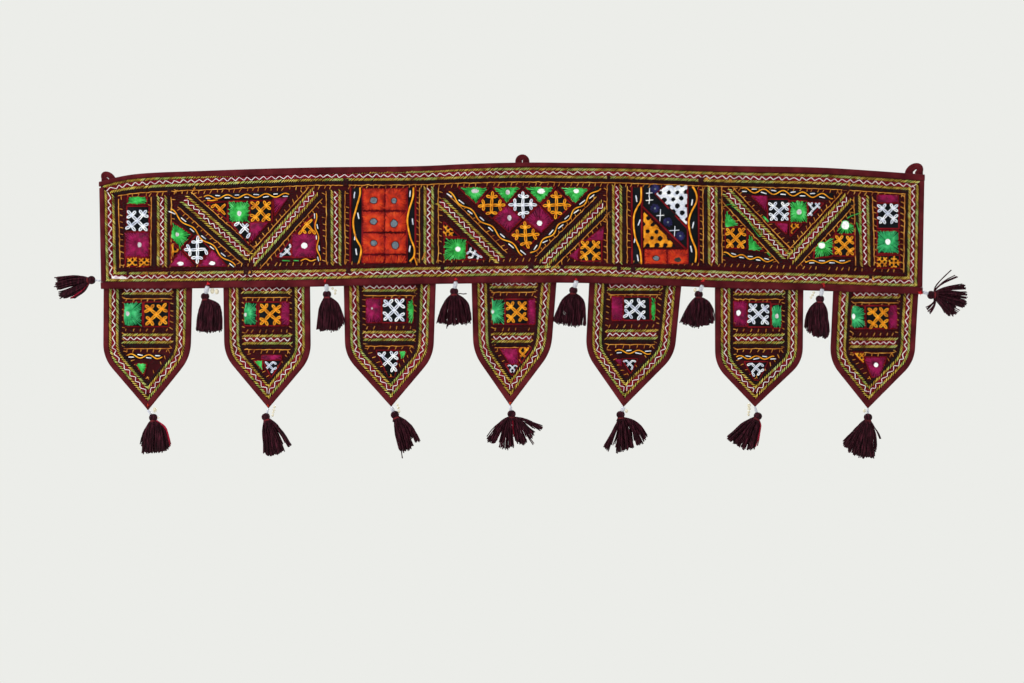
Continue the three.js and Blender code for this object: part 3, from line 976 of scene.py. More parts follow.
def cloth_sheet(name, flat, depth):
    """A closed sheet over a grid of flat points, with the stitching's puckers in its face."""
    rows, columns, _ = flat.shape
    x, z = flat[..., 0], flat[..., 1]
    front = deep(flat, depth, -PANEL_HALF - puckers(x, z))
    back = deep(flat, depth, PANEL_HALF - puckers(x, z) * 0.5)
    n = rows * columns
    a = np.arange(rows - 1)[:, None] * columns + np.arange(columns - 1)
    face = np.stack([a, a + 1, a + columns + 1, a + columns], axis=-1).reshape(-1, 4)
    ring = np.concatenate(
        [
            np.arange(columns),
            np.arange(2, rows + 1) * columns - 1,
            np.arange(n - 2, n - columns - 1, -1),
            np.arange(rows - 2, 0, -1) * columns,
        ]
    )
    after = np.roll(ring, -1)
    rim = np.stack([after, ring, ring + n, after + n], axis=-1)
    pile = Pile()
    pile.add([front, back], face, face[:, ::-1] + n, rim)
    piece = make_piece(f"{name}_cloth", pile, CLOTHS["ground"], "patchwork", [f"{name}_patchwork"])
    edge = flat.reshape(-1, 2)
    (x, z), (next_x, next_z) = edge[ring].T, edge[after].T
    area = abs((x * next_z - z * next_x).sum()) / 2
    return piece, np.ptp(edge[ring], axis=0), area


def band_cloth():
    inset = PANEL_INSET / BAND_LENGTH
    shares = np.linspace(inset, 1 - inset, 260)
    top = band_flat(shares, from_top=PANEL_INSET)
    foot = band_flat(shares, from_foot=PANEL_INSET)
    down = np.linspace(0, 1, 38)[:, None, None]
    return cloth_sheet("band", top + (foot - top) * down, band_depth)


def flag_cloth(flag, host):
    outline = flag_outline(flag, FLAG_STEPS)
    inset = outline + mitres(outline) * PANEL_INSET
    left = inset[: FLAG_STEPS + 1].copy()
    right = inset[FLAG_STEPS:][::-1].copy()
    left[-1] = left[-2] * 0.2 + left[-1] * 0.8
    right[-1] = right[-2] * 0.2 + right[-1] * 0.8
    across = np.linspace(0, 1, 24)[None, :, None]
    return cloth_sheet(flag.name, left[:, None] + (right - left)[:, None] * across, host.depth)


# What is sewn on the band. Lines run all round it, each so far in from the edges. The ones along
# the top run on over the ones down the ends.
Line = namedtuple("Line", "kind top foot left right left_run right_run left_drop right_drop")
FRAME_LINES = [
    Line("olive", 10.2, 10.6, 8, 8.6, 5, 7, 14, 14),
    Line("zigzag", 14.8, 14.5, 12.6, 13.4, 9.5, 12, 17, 14),
    Line("olive", 19.2, 18.8, 17, 17.8, 14.5, 18, 21.5, 15),
    Line("black", 22.8, 22, 20.6, 20.8, 19, 20, 24.5, 20),
    Line("rust", 26, 25, 23.4, 23.6, 23, 23, 27, 25),
]
FRAME_STEPS = 120
# Pitch of the zigzag on each edge of the band, on its strips, and down and across the flags
TOP_ZIGZAG, FOOT_ZIGZAG, END_ZIGZAG, STRIP_ZIGZAG = 9.6, 9.2, 9, 8
FLAG_ZIGZAG, SHORT_ZIGZAG = 9.6, 7.5
ZIGZAG_TAPE = 5.8
PIPING, WIDE_PIPING = 1.7, 2.2
# The first and last rows of quilting, and how far they stay from the ends
SEED_TOP, SEED_FOOT, SEED_INSET = 29, 22, 25


def sew_line(work, host, kind, path, tick_side=1, pitch=STRIP_ZIGZAG):
    """One line of the border, of a given kind, along a path."""
    path = np.asarray(path, float)
    if kind == "olive":
        rope(work, host, path)
    elif kind == "black":
        whipping(work["thread", "black"], host, path)
    elif kind == "zigzag":
        ribbon(work["cloth", "crimson"], host, path, ZIGZAG_TAPE)
        zigzag(work["thread", "pink_white"], host, path, pitch)
    else:
        if kind == "rust":
            thread(work["thread", "rust"], host, path, 0.6, wander=0.25)
        ticks(work["thread", "rust"], host, path[::tick_side], 3.4, 7.2)


def band_shares(left, right, steps=FRAME_STEPS):
    """Shares of the band's length, from so far in on its left to so far in on its right."""
    return np.linspace(left, BAND_LENGTH - right, steps) / BAND_LENGTH


def sew_frame():
    for line in FRAME_LINES:
        runs = band_shares(line.left_run, line.right_run)
        top = band_flat(runs, from_top=line.top - along_top(TOP_RISE, runs))
        insets = band_shares(line.left, line.right)
        foot = band_flat(insets, from_foot=line.foot)
        sew_line(BAND_WORK, BAND, line.kind, top[::-1], pitch=TOP_ZIGZAG)
        if line.kind == "rust":
            ticks(BAND_WORK["thread", "rust"], BAND, foot, 3.2, 7.8)
        elif line.kind != "black":
            sew_line(BAND_WORK, BAND, line.kind, foot, pitch=FOOT_ZIGZAG)
        for end, drop, way in ((0, line.left_drop, 1), (-1, line.right_drop, -1)):
            start = band_flat(insets[end], from_top=drop)
            side = at_share(np.stack([start, foot[end]]), np.linspace(0, 0.99, 12))
            sew_line(BAND_WORK, BAND, line.kind, side[::way], pitch=END_ZIGZAG)


def seed_band():
    runs = band_shares(SEED_INSET, SEED_INSET, 60)
    downs = np.arange(SEED_TOP, BAND_DROP - SEED_FOOT, SEED_ROWS)
    seeding(BAND_WORK, BAND, [band_flat(runs, from_top=down) for down in downs])


# Places along the border where the end of a strip is turned under and whipped down
Joint = namedtuple("Joint", "x z width height")
JOINTS = [
    Joint(-211.5, -24, 6.5, 8.5), Joint(-39, -19.5, 3.5, 4), Joint(104, -18, 4.5, 4),
    Joint(215, -22, 6.5, 8), Joint(389, -31, 9, 6), Joint(-424, -35.5, 5, 6),
    Joint(-472, -134, 3, 4), Joint(-448.5, -134, 3, 4), Joint(-423.5, -134, 3.5, 4),
    Joint(-329, -131, 10, 9), Joint(-208, -130, 6, 8), Joint(-95.5, -127, 5, 5),
    Joint(10.5, -125.5, 7, 6), Joint(48, -126, 5, 4), Joint(116, -127.5, 5, 5),
    Joint(133, -128.5, 6, 8), Joint(418, -137.5, 6, 6),
]
ORANGE_KNOTS = [
    (-394, -32), (-449, -134), (-488.5, -127.5), (-33, -131.5), (130, -18.5), (221.5, -20),
    (250.5, -21.5), (392, -26), (420, -139), (-416, -35), (-326, -132),
]


def sew_joints():
    for joint in JOINTS:
        half_x, half_z = joint.width / 2, joint.height / 2
        corners = box(joint.x - half_x, joint.z + half_z, joint.x + half_x, joint.z - half_z)
        patch(BAND_WORK["cloth", "ground"], BAND, corners, height=1.4)
        for x in np.arange(joint.x - half_x + 0.8, joint.x + half_x, 1.5):
            way = np.array([rng.normal(0, 0.5), -half_z])
            pile = BAND_WORK["thread", "black" if rng.uniform() < 0.4 else "maroon"]
            stitch(pile, BAND, np.array([x, joint.z]), way, [0.9, 1.6, 0.9], 0.5)
    for x, z in ORANGE_KNOTS:
        for _ in range(3):
            way = rng.normal(0, 1, 2) * (1, 1.6)
            middle = np.array([x, z]) + rng.normal(0, 0.5, 2)
            stitch(BAND_WORK["thread", "rust"], BAND, middle, way, [0.8, 1.9, 0.8], 0.5)


# Strips between the panels: three lines side by side, with stitching along both edges
Strip = namedtuple("Strip", "start end spread black rust")
DIVIDERS = [
    Strip((-432.5, -42), (-432, -124), 4.4, (-9.5, 8), (-13, 11)),
    Strip((-223.5, -35), (-223, -122), 4.8, (-8.4, 8.4), (-11.6, 11)),
    Strip((-112, -31), (-112, -121), 4.6, (8.4, -8.2), (11.4, -11)),
    Strip((114.2, -29), (114.2, -121), 4.5, (-9, 9), (-12, 12)),
    Strip((229, -30), (229, -121), 4.4, (-8.4, 8.4), (-11.4, 11.2)),
    Strip((410, -42), (411, -124), 4.8, (-8.6, 8.6), (-11.6, 11)),
]
SLANTS = [
    Strip((-405.5, -44.5), (-327.5, -113.5), 4.6, (-9, 8.8), (-12, 11.6)),
    Strip((-249, -36), (-323, -120), 4.2, (9,), (12, -9.2)),
    Strip((-97.5, -47), (-26.5, -117.5), 4.8, (9,), (12,)),
    Strip((98, -51), (25.5, -122.5), 4.6, (9, -9), (12, -12.6)),
    Strip((246.5, -36), (317, -113), 4.4, (-9,), (-12, 9.4)),
    Strip((391, -43), (322, -117), 4.4, (9,), (12, -9.4)),
]


def sew_strip(strip):
    ends = np.array([strip.start, strip.end], float)
    side = sideways(unit(ends[1] - ends[0]))
    path = at_share(ends, np.linspace(0, 1, 20))
    sew_line(BAND_WORK, BAND, "zigzag", path)
    for offset in (-strip.spread, strip.spread):
        sew_line(BAND_WORK, BAND, "olive", path + side * offset)
    for offset in strip.black:
        sew_line(BAND_WORK, BAND, "black", path + side * offset)
    for offset in strip.rust:
        line = path + side * offset
        sew_line(BAND_WORK, BAND, "rust", line, tick_side=1 if offset > 0 else -1)


# Patches with a sun of long stitches round a mirror
# A sun's mirror finish is partly the glass's own tint and tarnish and partly painted reflection.
Sun = namedtuple("Sun", "colour corners centre mirror finish", defaults=(None, None))
SUNS = [
    Sun("green", box(-473.5, -41.5, -450.5, -50.5), (-462, -45.5)),
    Sun("magenta", box(-475.5, -84.5, -447.5, -114), (-458.5, -99.5), (2.6, 3.4), "pale"),
    Sun("green", [(-420, -71.5), (-396.5, -87), (-410.5, -104), (-422.5, -90.5)],
        (-414, -87), (2.2, 3), "pale"),
    Sun("magenta", [(-410, -107), (-393.5, -125), (-423, -125)],
        (-410, -122), (4.3, 2.6), "bright"),
    Sun("magenta", [(-372, -105.5), (-354, -125), (-389, -125)],
        (-372, -121.5), (4.1, 2.6), "bright"),
    Sun("green", box(-353, -47, -327.5, -72.5), (-339.5, -61.5), (2.8, 3.6), "pale"),
    Sun("magenta", [(-299, -44), (-281.5, -42.5), (-297, -64.5)], (-285.5, -44)),
    Sun("magenta", [(-326.5, -73.5), (-305, -72.5), (-325, -96.5)], (-319, -76.5)),
    Sun("magenta", box(-276, -86, -247, -114.5), (-261, -100.5), (4.3, 3.8), "bright"),
    Sun("orange_red", box(-191, -32, -165.5, -57.5), (-178, -46), (4.6, 3.8), "smoky"),
    Sun("orange_red", box(-164, -32, -139, -57.5), (-153.5, -46.5), (3.2, 3.5), "smoky"),
    Sun("orange_red", box(-191, -60, -165.5, -83.5), (-178, -71.5), (4.3, 3.8), "smoky"),
    Sun("orange_red", box(-164, -60, -139, -83.5), (-153.5, -74), (4.3, 4.8), "smoky"),
    Sun("orange_red", box(-191, -86, -165.5, -110), (-177.5, -97.5), (4.1, 3.5), "smoky"),
    Sun("orange_red", box(-164, -86, -139, -110), (-152, -100), (4.3, 4.9), "smoky"),
    Sun("orange_red", box(-191, -112.5, -165.5, -121), (-178.5, -136.5)),
    Sun("orange_red", box(-164, -112.5, -139, -121), (-152, -136.5)),
    Sun("green", [(-77, -29.5), (-39.5, -30.5), (-55, -50)], (-56.5, -34.5), (4.8, 2.9), "pale"),
    Sun("green", [(-35, -30), (-1.5, -30), (-18.5, -49.5)], (-17, -36), (2.8, 3.6), "pale"),
    Sun("green", [(3, -30), (40.5, -30), (21.5, -50)], (23, -35), (5.3, 3.4), "bright"),
    Sun("green", [(45.5, -30), (82, -31.5), (63.5, -50.5)], (65, -35), (3.8, 2.8), "bright"),
    Sun("magenta", [(-18, -51.5), (-0.5, -69), (-16, -84), (-33.5, -68.5)],
        (-15, -67), (2.6, 3.6), "pale"),
    Sun("magenta", [(20, -51.5), (38, -69.5), (23, -84.5), (3.5, -69)],
        (21, -73.5), (3.5, 3.5), "bright"),
    Sun("green", box(-93.5, -91.5, -67, -117.5), (-77, -104.5), (3.2, 3.5), "bright"),
    Sun("magenta", [(78, -93.5), (98, -77.5), (97, -94.5)], (93.5, -88.5)),
    Sun("magenta", [(56, -113.5), (68, -104), (67, -118.5)], (62.5, -110)),
    Sun("orange_red", box(147.5, -105, 173.5, -122), (161, -115.5), (4, 2.9), "smoky"),
    Sun("orange_red", box(175, -105.5, 199, -122), (187, -117.5), (4.6, 3.2), "dark"),
    Sun("magenta", [(276, -40.5), (294.5, -41), (293.5, -59)], (290.5, -42.5)),
    Sun("green", box(321.5, -46.5, 342.5, -72.5), (332.5, -60), (3.2, 3.5), "pale"),
    Sun("magenta", [(304, -73.5), (319, -74), (317.5, -86.5)], (314.5, -76.5)),
    Sun("green", [(244, -55.5), (261.5, -77), (244, -78)], (247, -74)),
    Sun("green", [(271, -83.5), (290.5, -107), (272, -105.5)], (275, -102.5)),
    Sun("green", [(375, -86.5), (382, -75), (390, -73.5), (398.5, -75), (398, -86.5)],
        (387.5, -76), (5, 5.5), "bright"),
    Sun("green", [(349, -115.5), (352, -101.5), (362.5, -96.5), (373, -90), (372, -113.5)],
        (359, -100.5), (4.3, 3.8), "bright"),
    Sun("magenta", box(426.5, -39.5, 452, -48.5), (439, -42.5)),
    Sun("aqua", box(425.5, -82.5, 452.5, -110), (438.5, -96), (3.4, 3.8), "bright"),
]

# Patches with an interlaced cross, whole or cut off by the patch's own outline
Cross = namedtuple("Cross", "colour corners centre size turn", defaults=(0,))
CROSSES = [
    Cross("white", box(-474, -53, -447.5, -83.5), (-461.5, -70.6), 26.5),
    Cross("orange", box(-475, -115.5, -460, -125.5), (-466.6, -121), 12),
    Cross("orange", box(-460, -115.5, -447.5, -125.5), (-453, -121), 12),
    Cross("orange", [(-422, -96.5), (-411, -107), (-422, -118.5)], (-419, -107.5), 14.5, 45),
    Cross("white", [(-391, -87.5), (-374, -104.5), (-390, -123), (-407.5, -105.5)],
        (-389.5, -105), 26, 45),
    Cross("orange", [(-379, -48.5), (-354, -47.5), (-354, -69.5)], (-362.5, -56.5), 24),
    Cross("orange", box(-326.5, -46.5, -300, -72), (-313.5, -59), 26),
    Cross("white", [(-349, -73.5), (-327, -73.5), (-327, -100.5)], (-332.5, -78.5), 26.5),
    Cross("orange", [(-249.5, -62), (-248.5, -85.5), (-272.5, -85.5)], (-258, -75), 24),
    Cross("white", [(-277, -93.5), (-277, -114), (-294, -114)], (-281.5, -107), 17.5),
    Cross("orange", [(-36.5, -33.5), (-19, -51), (-35.5, -68), (-54, -50.5)],
        (-36.5, -51.5), 26, 45),
    Cross("white", [(1, -33.5), (18.5, -51), (2, -68), (-16, -50.5)], (1, -51.5), 26, 45),
    Cross("orange", [(41.5, -33.5), (60, -51), (42, -68.5), (23.5, -51)], (41.5, -51.5), 26, 45),
    Cross("orange", [(3, -70.5), (21.5, -87), (5, -105), (-13, -87)], (4, -88), 26, 45),
    Cross("orange", [(-94, -71.5), (-74.5, -89.5), (-94, -89.5)], (-89, -82.5), 13),
    Cross("white", [(-65.5, -95), (-44, -117), (-65.5, -117)], (-57.5, -109.5), 17, 20),
    Cross("orange", box(69.5, -94.5, 95.5, -119), (82, -106.5), 24.5),
    Cross("white", box(295, -44.5, 320.5, -72), (308.5, -59), 24.5),
    Cross("white", [(343.5, -48), (362, -49.5), (343.5, -68.5)], (350, -56.8), 16.5),
    Cross("orange", [(321, -73.5), (336, -74.5), (322, -89.5)], (326, -80), 12.5),
    Cross("orange", box(244, -79, 270, -103.5), (256.5, -91.5), 25),
    Cross("orange", box(374, -87.5, 398.5, -113), (386, -100.5), 24.5),
    Cross("white", box(426.5, -49.5, 452.5, -80), (439, -61.8), 25),
    Cross("orange", box(425, -112, 438.5, -127.5), (431, -120), 12.5),
    Cross("orange", box(438.5, -112, 453, -127.5), (445.4, -121), 13, 45),
]


def sew_patch(work, host, corners, colour="ink"):
    """A patch of cloth with a narrow red edge."""
    patch(work["cloth", colour], host, corners)
    ring = np.asarray([*corners, corners[0]], float)
    for start, end in zip(ring, ring[1:]):
        ribbon(work["cloth", "piping"], host, [start, end], PIPING, height=0.95, pitch=6)


def sew_sun(work, host, sun):
    sew_patch(work, host, sun.corners, UNDER.get(sun.colour, "ink"))
    pile = work["thread", sun.colour]
    hole = min(sun.mirror) if sun.mirror else 0.6
    rays(pile, host, sun.corners, sun.centre, hole, *RAYS.get(sun.colour, PLAIN_RAYS))
    if sun.mirror:
        across, tall = sun.mirror
        mirror_disc(work["mirror", sun.finish], host, sun.centre, across, tall)
        ring = work["thread", "maroon"] if sun.finish == "smoky" else pile
        rim_thread(ring, host, sun.centre, across + 0.3, tall + 0.3)


def sew_cross(work, host, cross):
    sew_patch(work, host, cross.corners)
    pile = work["thread", cross.colour]
    knot_cross(pile, host, cross.corners, cross.centre, cross.size, cross.turn)


# Wavy lines with a white stitch in each hollow
Wave = namedtuple("Wave", "start end swing length crest radius dash width")
WAVES = [
    Wave((-382, -42), (-280, -39.5), 2.2, 23.3, 0.2, 0.75, 5.6, 8),
    Wave((-422, -57.5), (-345, -125), 2, 32, 0.1, 0.75, 7, 7.5),
    Wave((-248, -62), (-243, -118), 1.6, 26, 0.1, 0.7, 5, 6),
    Wave((-88.7, -36.6), (1.2, -110.5), 2.2, 32, 0.1, 0.8, 7, 7),
    Wave((93, -30.5), (11, -109.7), 2.2, 26, 0.05, 0.8, 7, 7),
    Wave((264, -33), (373, -41.5), 2.8, 23.3, 0.15, 0.75, 5.6, 8.5),
    Wave((242, -110), (301, -119), 2, 20, 0.1, 0.75, 5, 7),
    Wave((340, -120), (393, -120), 1.7, 24, 0.3, 0.75, 6, 6.5),
]


def sew_wave(work, host, row):
    """A dark strip, with a wavy line and stitches in its hollows."""
    ribbon(work["cloth", "ink"], host, [row.start, row.end], row.width, height=0.65)
    wave(work["thread", "orange"], host, row)
    hollow_dashes(work["thread", "white"], host, row)


# The dark strips down the sides of two panels: each one's middle, foot and width, the route of
# its wavy line, and its stitches' places and slant
Upright = namedtuple("Upright", "x foot width line dashes")
UPRIGHTS = [
    Upright(-197.5, -121, 12, [(-194.4, -31), (-194.6, -40), (-199.5, -58), (-202.4, -72),
                               (-199.6, -90), (-193.4, -102), (-193, -110), (-195.6, -121)],
            [(-201.2, -39.6, 0.4), (-196.3, -64.8, -0.8), (-200.2, -90, 0.6),
             (-198.6, -108, -0.5)]),
    Upright(-133.3, -121, 9.5, [(-130.3, -31), (-130.8, -42), (-135.6, -58), (-137.4, -72),
                                (-134, -90), (-129.2, -103), (-129.4, -113), (-134.2, -119)],
            [(-134.4, -37.8, 0.3), (-131.2, -71.4, -0.4), (-134.6, -104.4, 0.5)]),
    Upright(138.6, -122, 11.5, [(143.2, -30), (142.8, -46), (138.5, -54), (134.6, -64),
                                (134.2, -78), (136.4, -92), (141.6, -106), (143.2, -122)],
            [(137.5, -43.8, -0.6), (140.6, -72.8, 1.4), (135.4, -93, 0.8), (138.9, -115.4, -0.6)]),
    Upright(205, -121, 12, [(205.6, -30), (209.4, -38), (209.4, -48), (202.6, -62), (200.2, -74),
                            (203, -90), (208.8, -106), (208, -120)],
            [(204.3, -48.6, 0.6), (205.4, -75.6, 0.8), (203.1, -104.5, -0.7)]),
]
DASH_REACH = 3.7


def sew_upright(strip):
    middle = [(strip.x, -30.5), (strip.x, strip.foot)]
    ribbon(BAND_WORK["cloth", "ink"], BAND, middle, strip.width, height=0.65)
    line = spline(strip.line, 6)
    thread(BAND_WORK["thread", "orange"], BAND, line, 1.1, height=1.4, sides=6)
    for x, z, slant in strip.dashes:
        way = np.array([slant, DASH_REACH])
        dash = np.array([x, z]) + way * [[-1], [0], [1]]
        thread(BAND_WORK["thread", "white"], BAND, dash, 0.85, height=1.4, sides=6)


# The panel with a slanted dark strip between two trellises
TRELLIS_WHITE = [(161, -38), (173.5, -27.5), (198.5, -27.5), (198.5, -76)]
TRELLIS_ORANGE = [(146, -58.5), (185, -102), (146, -102)]
NAVY_BAND = [(146, -27), (173.5, -27), (161, -38), (198.5, -78), (198.5, -104), (146, -54)]
TRELLIS_HOLE = 2.75
TRELLIS_PITCH = 10.4
ROUND_PATCHES = [(160, -32), (159.6, -55.4), (175.2, -72.2), (190, -88.6)]
PLUS_SIGNS = [
    (153, -37, 4.4, 6.2), (153, -45.6, 5, 6.2), (166, -64, 6.8, 8.2), (183.4, -82, 6.4, 7.8),
]
PANEL_PIPING = [
    [(132, -29), (132, -122)], [(143.8, -29), (143.8, -122)], [(199, -29), (199, -121)],
    [(212.4, -30), (212.4, -121)], [(145, -53.5), (197, -104.5)], [(160, -37.5), (198, -79)],
    [(160, -38.5), (173, -27.5)], [(-206, -30), (-206, -121)], [(-191.4, -30), (-191.4, -121)],
    [(-137.8, -30), (-137.8, -121)], [(-127.8, -30), (-127.8, -121)],
]


def trellis(colour, corners):
    """A patch filled with thread all over, but for rows of round gaps."""
    corners = np.asarray(corners, float)
    patch(BAND_WORK["cloth", "ink"], BAND, corners)
    low, high = corners.min(axis=0), corners.max(axis=0)
    columns, rows = (np.ptp(corners, axis=0) / TRELLIS_PITCH + 2).astype(int)
    holes = np.array(
        [
            (low[0] + TRELLIS_PITCH * (i + 0.5 * (j % 2)), high[1] - TRELLIS_PITCH * 0.8 * j)
            for i in range(columns)
            for j in range(rows + 2)
        ]
    )
    holes = holes + rng.normal(0, 0.5, holes.shape)
    sizes = rng.uniform(0.75, 1.15, len(holes)) * TRELLIS_HOLE
    paths = []
    for x in np.arange(low[0] - np.ptp(corners[:, 1]), high[0], 1.15):
        line = walk([(x, low[1]), (x + high[1] - low[1], high[1])], 0.8)[0]
        away = np.linalg.norm(line[:, None] - holes[None], axis=-1) - sizes
        sewn = inside(corners, line) & (away.min(axis=1) > 0)
        for run in np.split(np.arange(len(line)), np.flatnonzero(np.diff(sewn)) + 1):
            if sewn[run[0]] and len(run) > 2:
                ends = line[run[[0, -1]]]
                paths.append([ends[0], ends.mean(axis=0), ends[1]])
    flat = np.array(paths)
    lift = np.array([0.8, 1.1, 0.8]) + rng.normal(0, 0.08, flat.shape[:2])
    add_tubes(BAND_WORK["thread", colour], BAND.front(flat, lift), 0.56)


def slanted_panel():
    patch(BAND_WORK["cloth", "ink"], BAND, NAVY_BAND)
    for centre in ROUND_PATCHES:
        ring = np.array(centre) + oval(5.8, 5.8, np.linspace(0, 2 * np.pi, 12, endpoint=False))
        rays(BAND_WORK["thread", "navy"], BAND, ring, centre, 1.2, *RAYS["navy"])
        mirror_disc(BAND_WORK["mirror", "smoky"], BAND, centre, 1.3, 1.3)
    for x, z, width, height in PLUS_SIGNS:
        for way in ((0.5, height), (width, 0.4)):
            way, middle = np.array(way), np.array([x, z])
            stitch(BAND_WORK["thread", "white"], BAND, middle, way, [0.05, 1.3, 0.05], 0.62)
    trellis("white", TRELLIS_WHITE)
    trellis("orange", TRELLIS_ORANGE)
    for line in PANEL_PIPING:
        ribbon(BAND_WORK["cloth", "piping"], BAND, line, WIDE_PIPING, height=1.0)


# What is sewn on each flag. Lines run down both sides to the point, so far in from the edge.
FLAG_LINES = [("olive", 8.4), ("zigzag", 12.4), ("olive", 16.8), ("black", 19.8), ("ticks", 21.6)]
FLAG_TOP_LINES = [("zigzag", 2.7), ("olive", 6.6), ("black", 10), ("rust", 13)]  # below the band
FLAG_MIDDLE_LINES = [
    ("olive", 24.5), ("zigzag", 29), ("olive", 33.4), ("black", 37.3), ("rust", 41),
]
FLAG_ROWS = [32, 34.5, 32.4, 38.7, 31.9, 31.6, 32.2]  # middle of each flag's row of patches
FLAG_TICKS = 16.5


def flag_sides(flag, inset):
    """Lines down a flag's two sides, so far in from its edge, to where they meet."""
    outline = flag_outline(flag, FLAG_STEPS)
    z = np.linspace(flag.foot_z, flag.tip_z, 160)
    x = []
    for side, hand in ((outline[: FLAG_STEPS + 1], 1), (outline[FLAG_STEPS:][::-1], -1)):
        side = side + hand * sideways(unit(np.gradient(side, axis=0))) * inset
        x.append(np.interp(-z, -side[:, 1], side[:, 0]))
    open_here = x[1] > x[0]
    return [np.stack([line, z], axis=-1)[open_here] for line in x]


def sew_flag(flag, host, row):
    for kind, inset in FLAG_LINES:
        left, right = flag_sides(flag, inset)
        sew_line(FLAG_WORK, host, kind, left, pitch=FLAG_ZIGZAG)
        sew_line(FLAG_WORK, host, kind, right[::-1], pitch=FLAG_ZIGZAG)
    left, right = flag_sides(flag, 24)

    def across(down):
        z = flag.foot_z - down
        return np.array([(np.interp(-z, -side[:, 1], side[:, 0]), z) for side in (right, left)])

    levels = FLAG_TOP_LINES + [(kind, row + down) for kind, down in FLAG_MIDDLE_LINES]
    for kind, down in levels:
        sew_line(FLAG_WORK, host, kind, across(down), pitch=SHORT_ZIGZAG)
    ticks(FLAG_WORK["thread", "rust"], host, across(row + FLAG_TICKS), 3, 7.8)
    seeding(FLAG_WORK, host, [across(down) for down in np.arange(15, row + 60, SEED_ROWS)])


FLAG_SUNS = [
    (0, Sun("aqua", box(-477.5, -168, -455.5, -197.5), (-473, -182), (2.4, 3.2), "pale")),
    (0, Sun("green", [(-463, -241.9), (-449, -241.9), (-452, -256.4)], (-456, -245.4))),
    (1, Sun("aqua", box(-333.5, -168, -318.5, -196.5), (-332, -183), (1.6, 2.8), "pale")),
    (1, Sun("magenta", box(-289, -168, -279.5, -196.5), (-276, -182))),
    (1, Sun("green", [(-321.5, -238.4), (-311, -238.4), (-311, -250.4)], (-314, -241.4))),
    (1, Sun("magenta", box(-312, -231.9, -288, -237.4), (-299, -232.4))),
    (2, Sun("magenta", box(-187, -163.8, -169, -192.8), (-180, -175.8), (1.2, 1.5), "pale")),
    (2, Sun("green", box(-137, -164.8, -130.5, -192.8), (-128, -177.8))),
    (2, Sun("green", [(-147, -227), (-138, -227), (-144, -239)], (-143, -230))),
    (3, Sun("aqua", box(-36, -164.6, -20.5, -194.6), (-35, -179.6), (1.8, 2.8), "pale")),
    (3, Sun("magenta", box(7.5, -164.6, 15.5, -194.6), (19, -179.6))),
    (3, Sun("magenta", [(-26.5, -223.8), (-5, -223.8), (-5, -242.8), (-14, -242.8)],
            (-14, -230.8))),
    (4, Sun("magenta", box(108, -161.5, 121, -190), (109, -176))),
    (4, Sun("green", box(155, -162, 160, -190), (162, -176))),
    (4, Sun("magenta", [(112, -237), (119, -237), (119, -245)], (116, -239))),
    (5, Sun("magenta", box(254.5, -167, 270, -197), (260, -181), (3, 3.6), "bright")),
    (5, Sun("aqua", box(300, -170.5, 312, -199.5), (306, -185), (2.4, 3.2), "pale")),
    (6, Sun("aqua", box(395, -172.4, 411, -199.9), (397, -185.4), (2.2, 3.6), "bright")),
    (6, Sun("magenta", box(440.5, -172.4, 450, -199.9), (453, -186.4))),
    (6, Sun("magenta", [(409, -233.9), (437, -233.9), (428, -257.9), (418, -257.9)],
            (423.5, -243.4), (3, 3), "bright")),
]
FLAG_CROSSES = [
    (0, Cross("orange", box(-454, -168, -424, -197.5), (-439, -183), 27)),
    (1, Cross("orange", box(-316, -168, -290, -196.5), (-302.5, -183), 26)),
    (1, Cross("white", [(-311, -237.9), (-287, -237.9), (-300, -258.4)], (-302.5, -244.4), 19)),
    (2, Cross("white", box(-168, -163.8, -138, -192.8), (-153.5, -177.8), 27.5)),
    (2, Cross("white", [(-175, -226), (-147, -226), (-152, -258), (-160, -258)],
              (-160.5, -239), 25)),
    (3, Cross("orange", box(-20, -164.6, 7, -194.6), (-6.5, -180.1), 26)),
    (3, Cross("orange", [(-4, -222.8), (12, -222.8), (-1, -241.8)], (1, -230.8), 17)),
    (3, Cross("white", [(-20, -242.3), (-3, -242.3), (-12, -256.8)], (-11.5, -246.8), 12)),
    (4, Cross("white", box(122, -162, 154, -190), (136, -177), 26)),
    (4, Cross("white", [(119.5, -236), (139, -236), (130, -254)], (128.5, -242), 16)),
    (5, Cross("white", box(271, -168, 299, -198), (284, -182.5), 26)),
    (5, Cross("white", [(266, -239.6), (295, -239.6), (284, -261.6), (278, -261.6)],
            (280, -246.6), 21)),
    (6, Cross("orange", box(412, -172.4, 440.5, -199.9), (427, -186.9), 26)),
    (6, Cross("orange", [(396, -228.4), (408.5, -228.4), (408.5, -242.4)], (403, -234.9), 12)),
]
FLAG_WAVES = [
    (0, Wave((-472, -232.4), (-431, -234.2), 2.2, 21, 0.2, 0.75, 6.5, 6.4)),
    (4, Wave((112, -227.2), (154, -228.6), 2.2, 23, 0.2, 0.75, 6.5, 6.4)),
    (5, Wave((257, -234.2), (302, -235), 1.9, 20, 0.2, 0.75, 6, 6.2)),
]


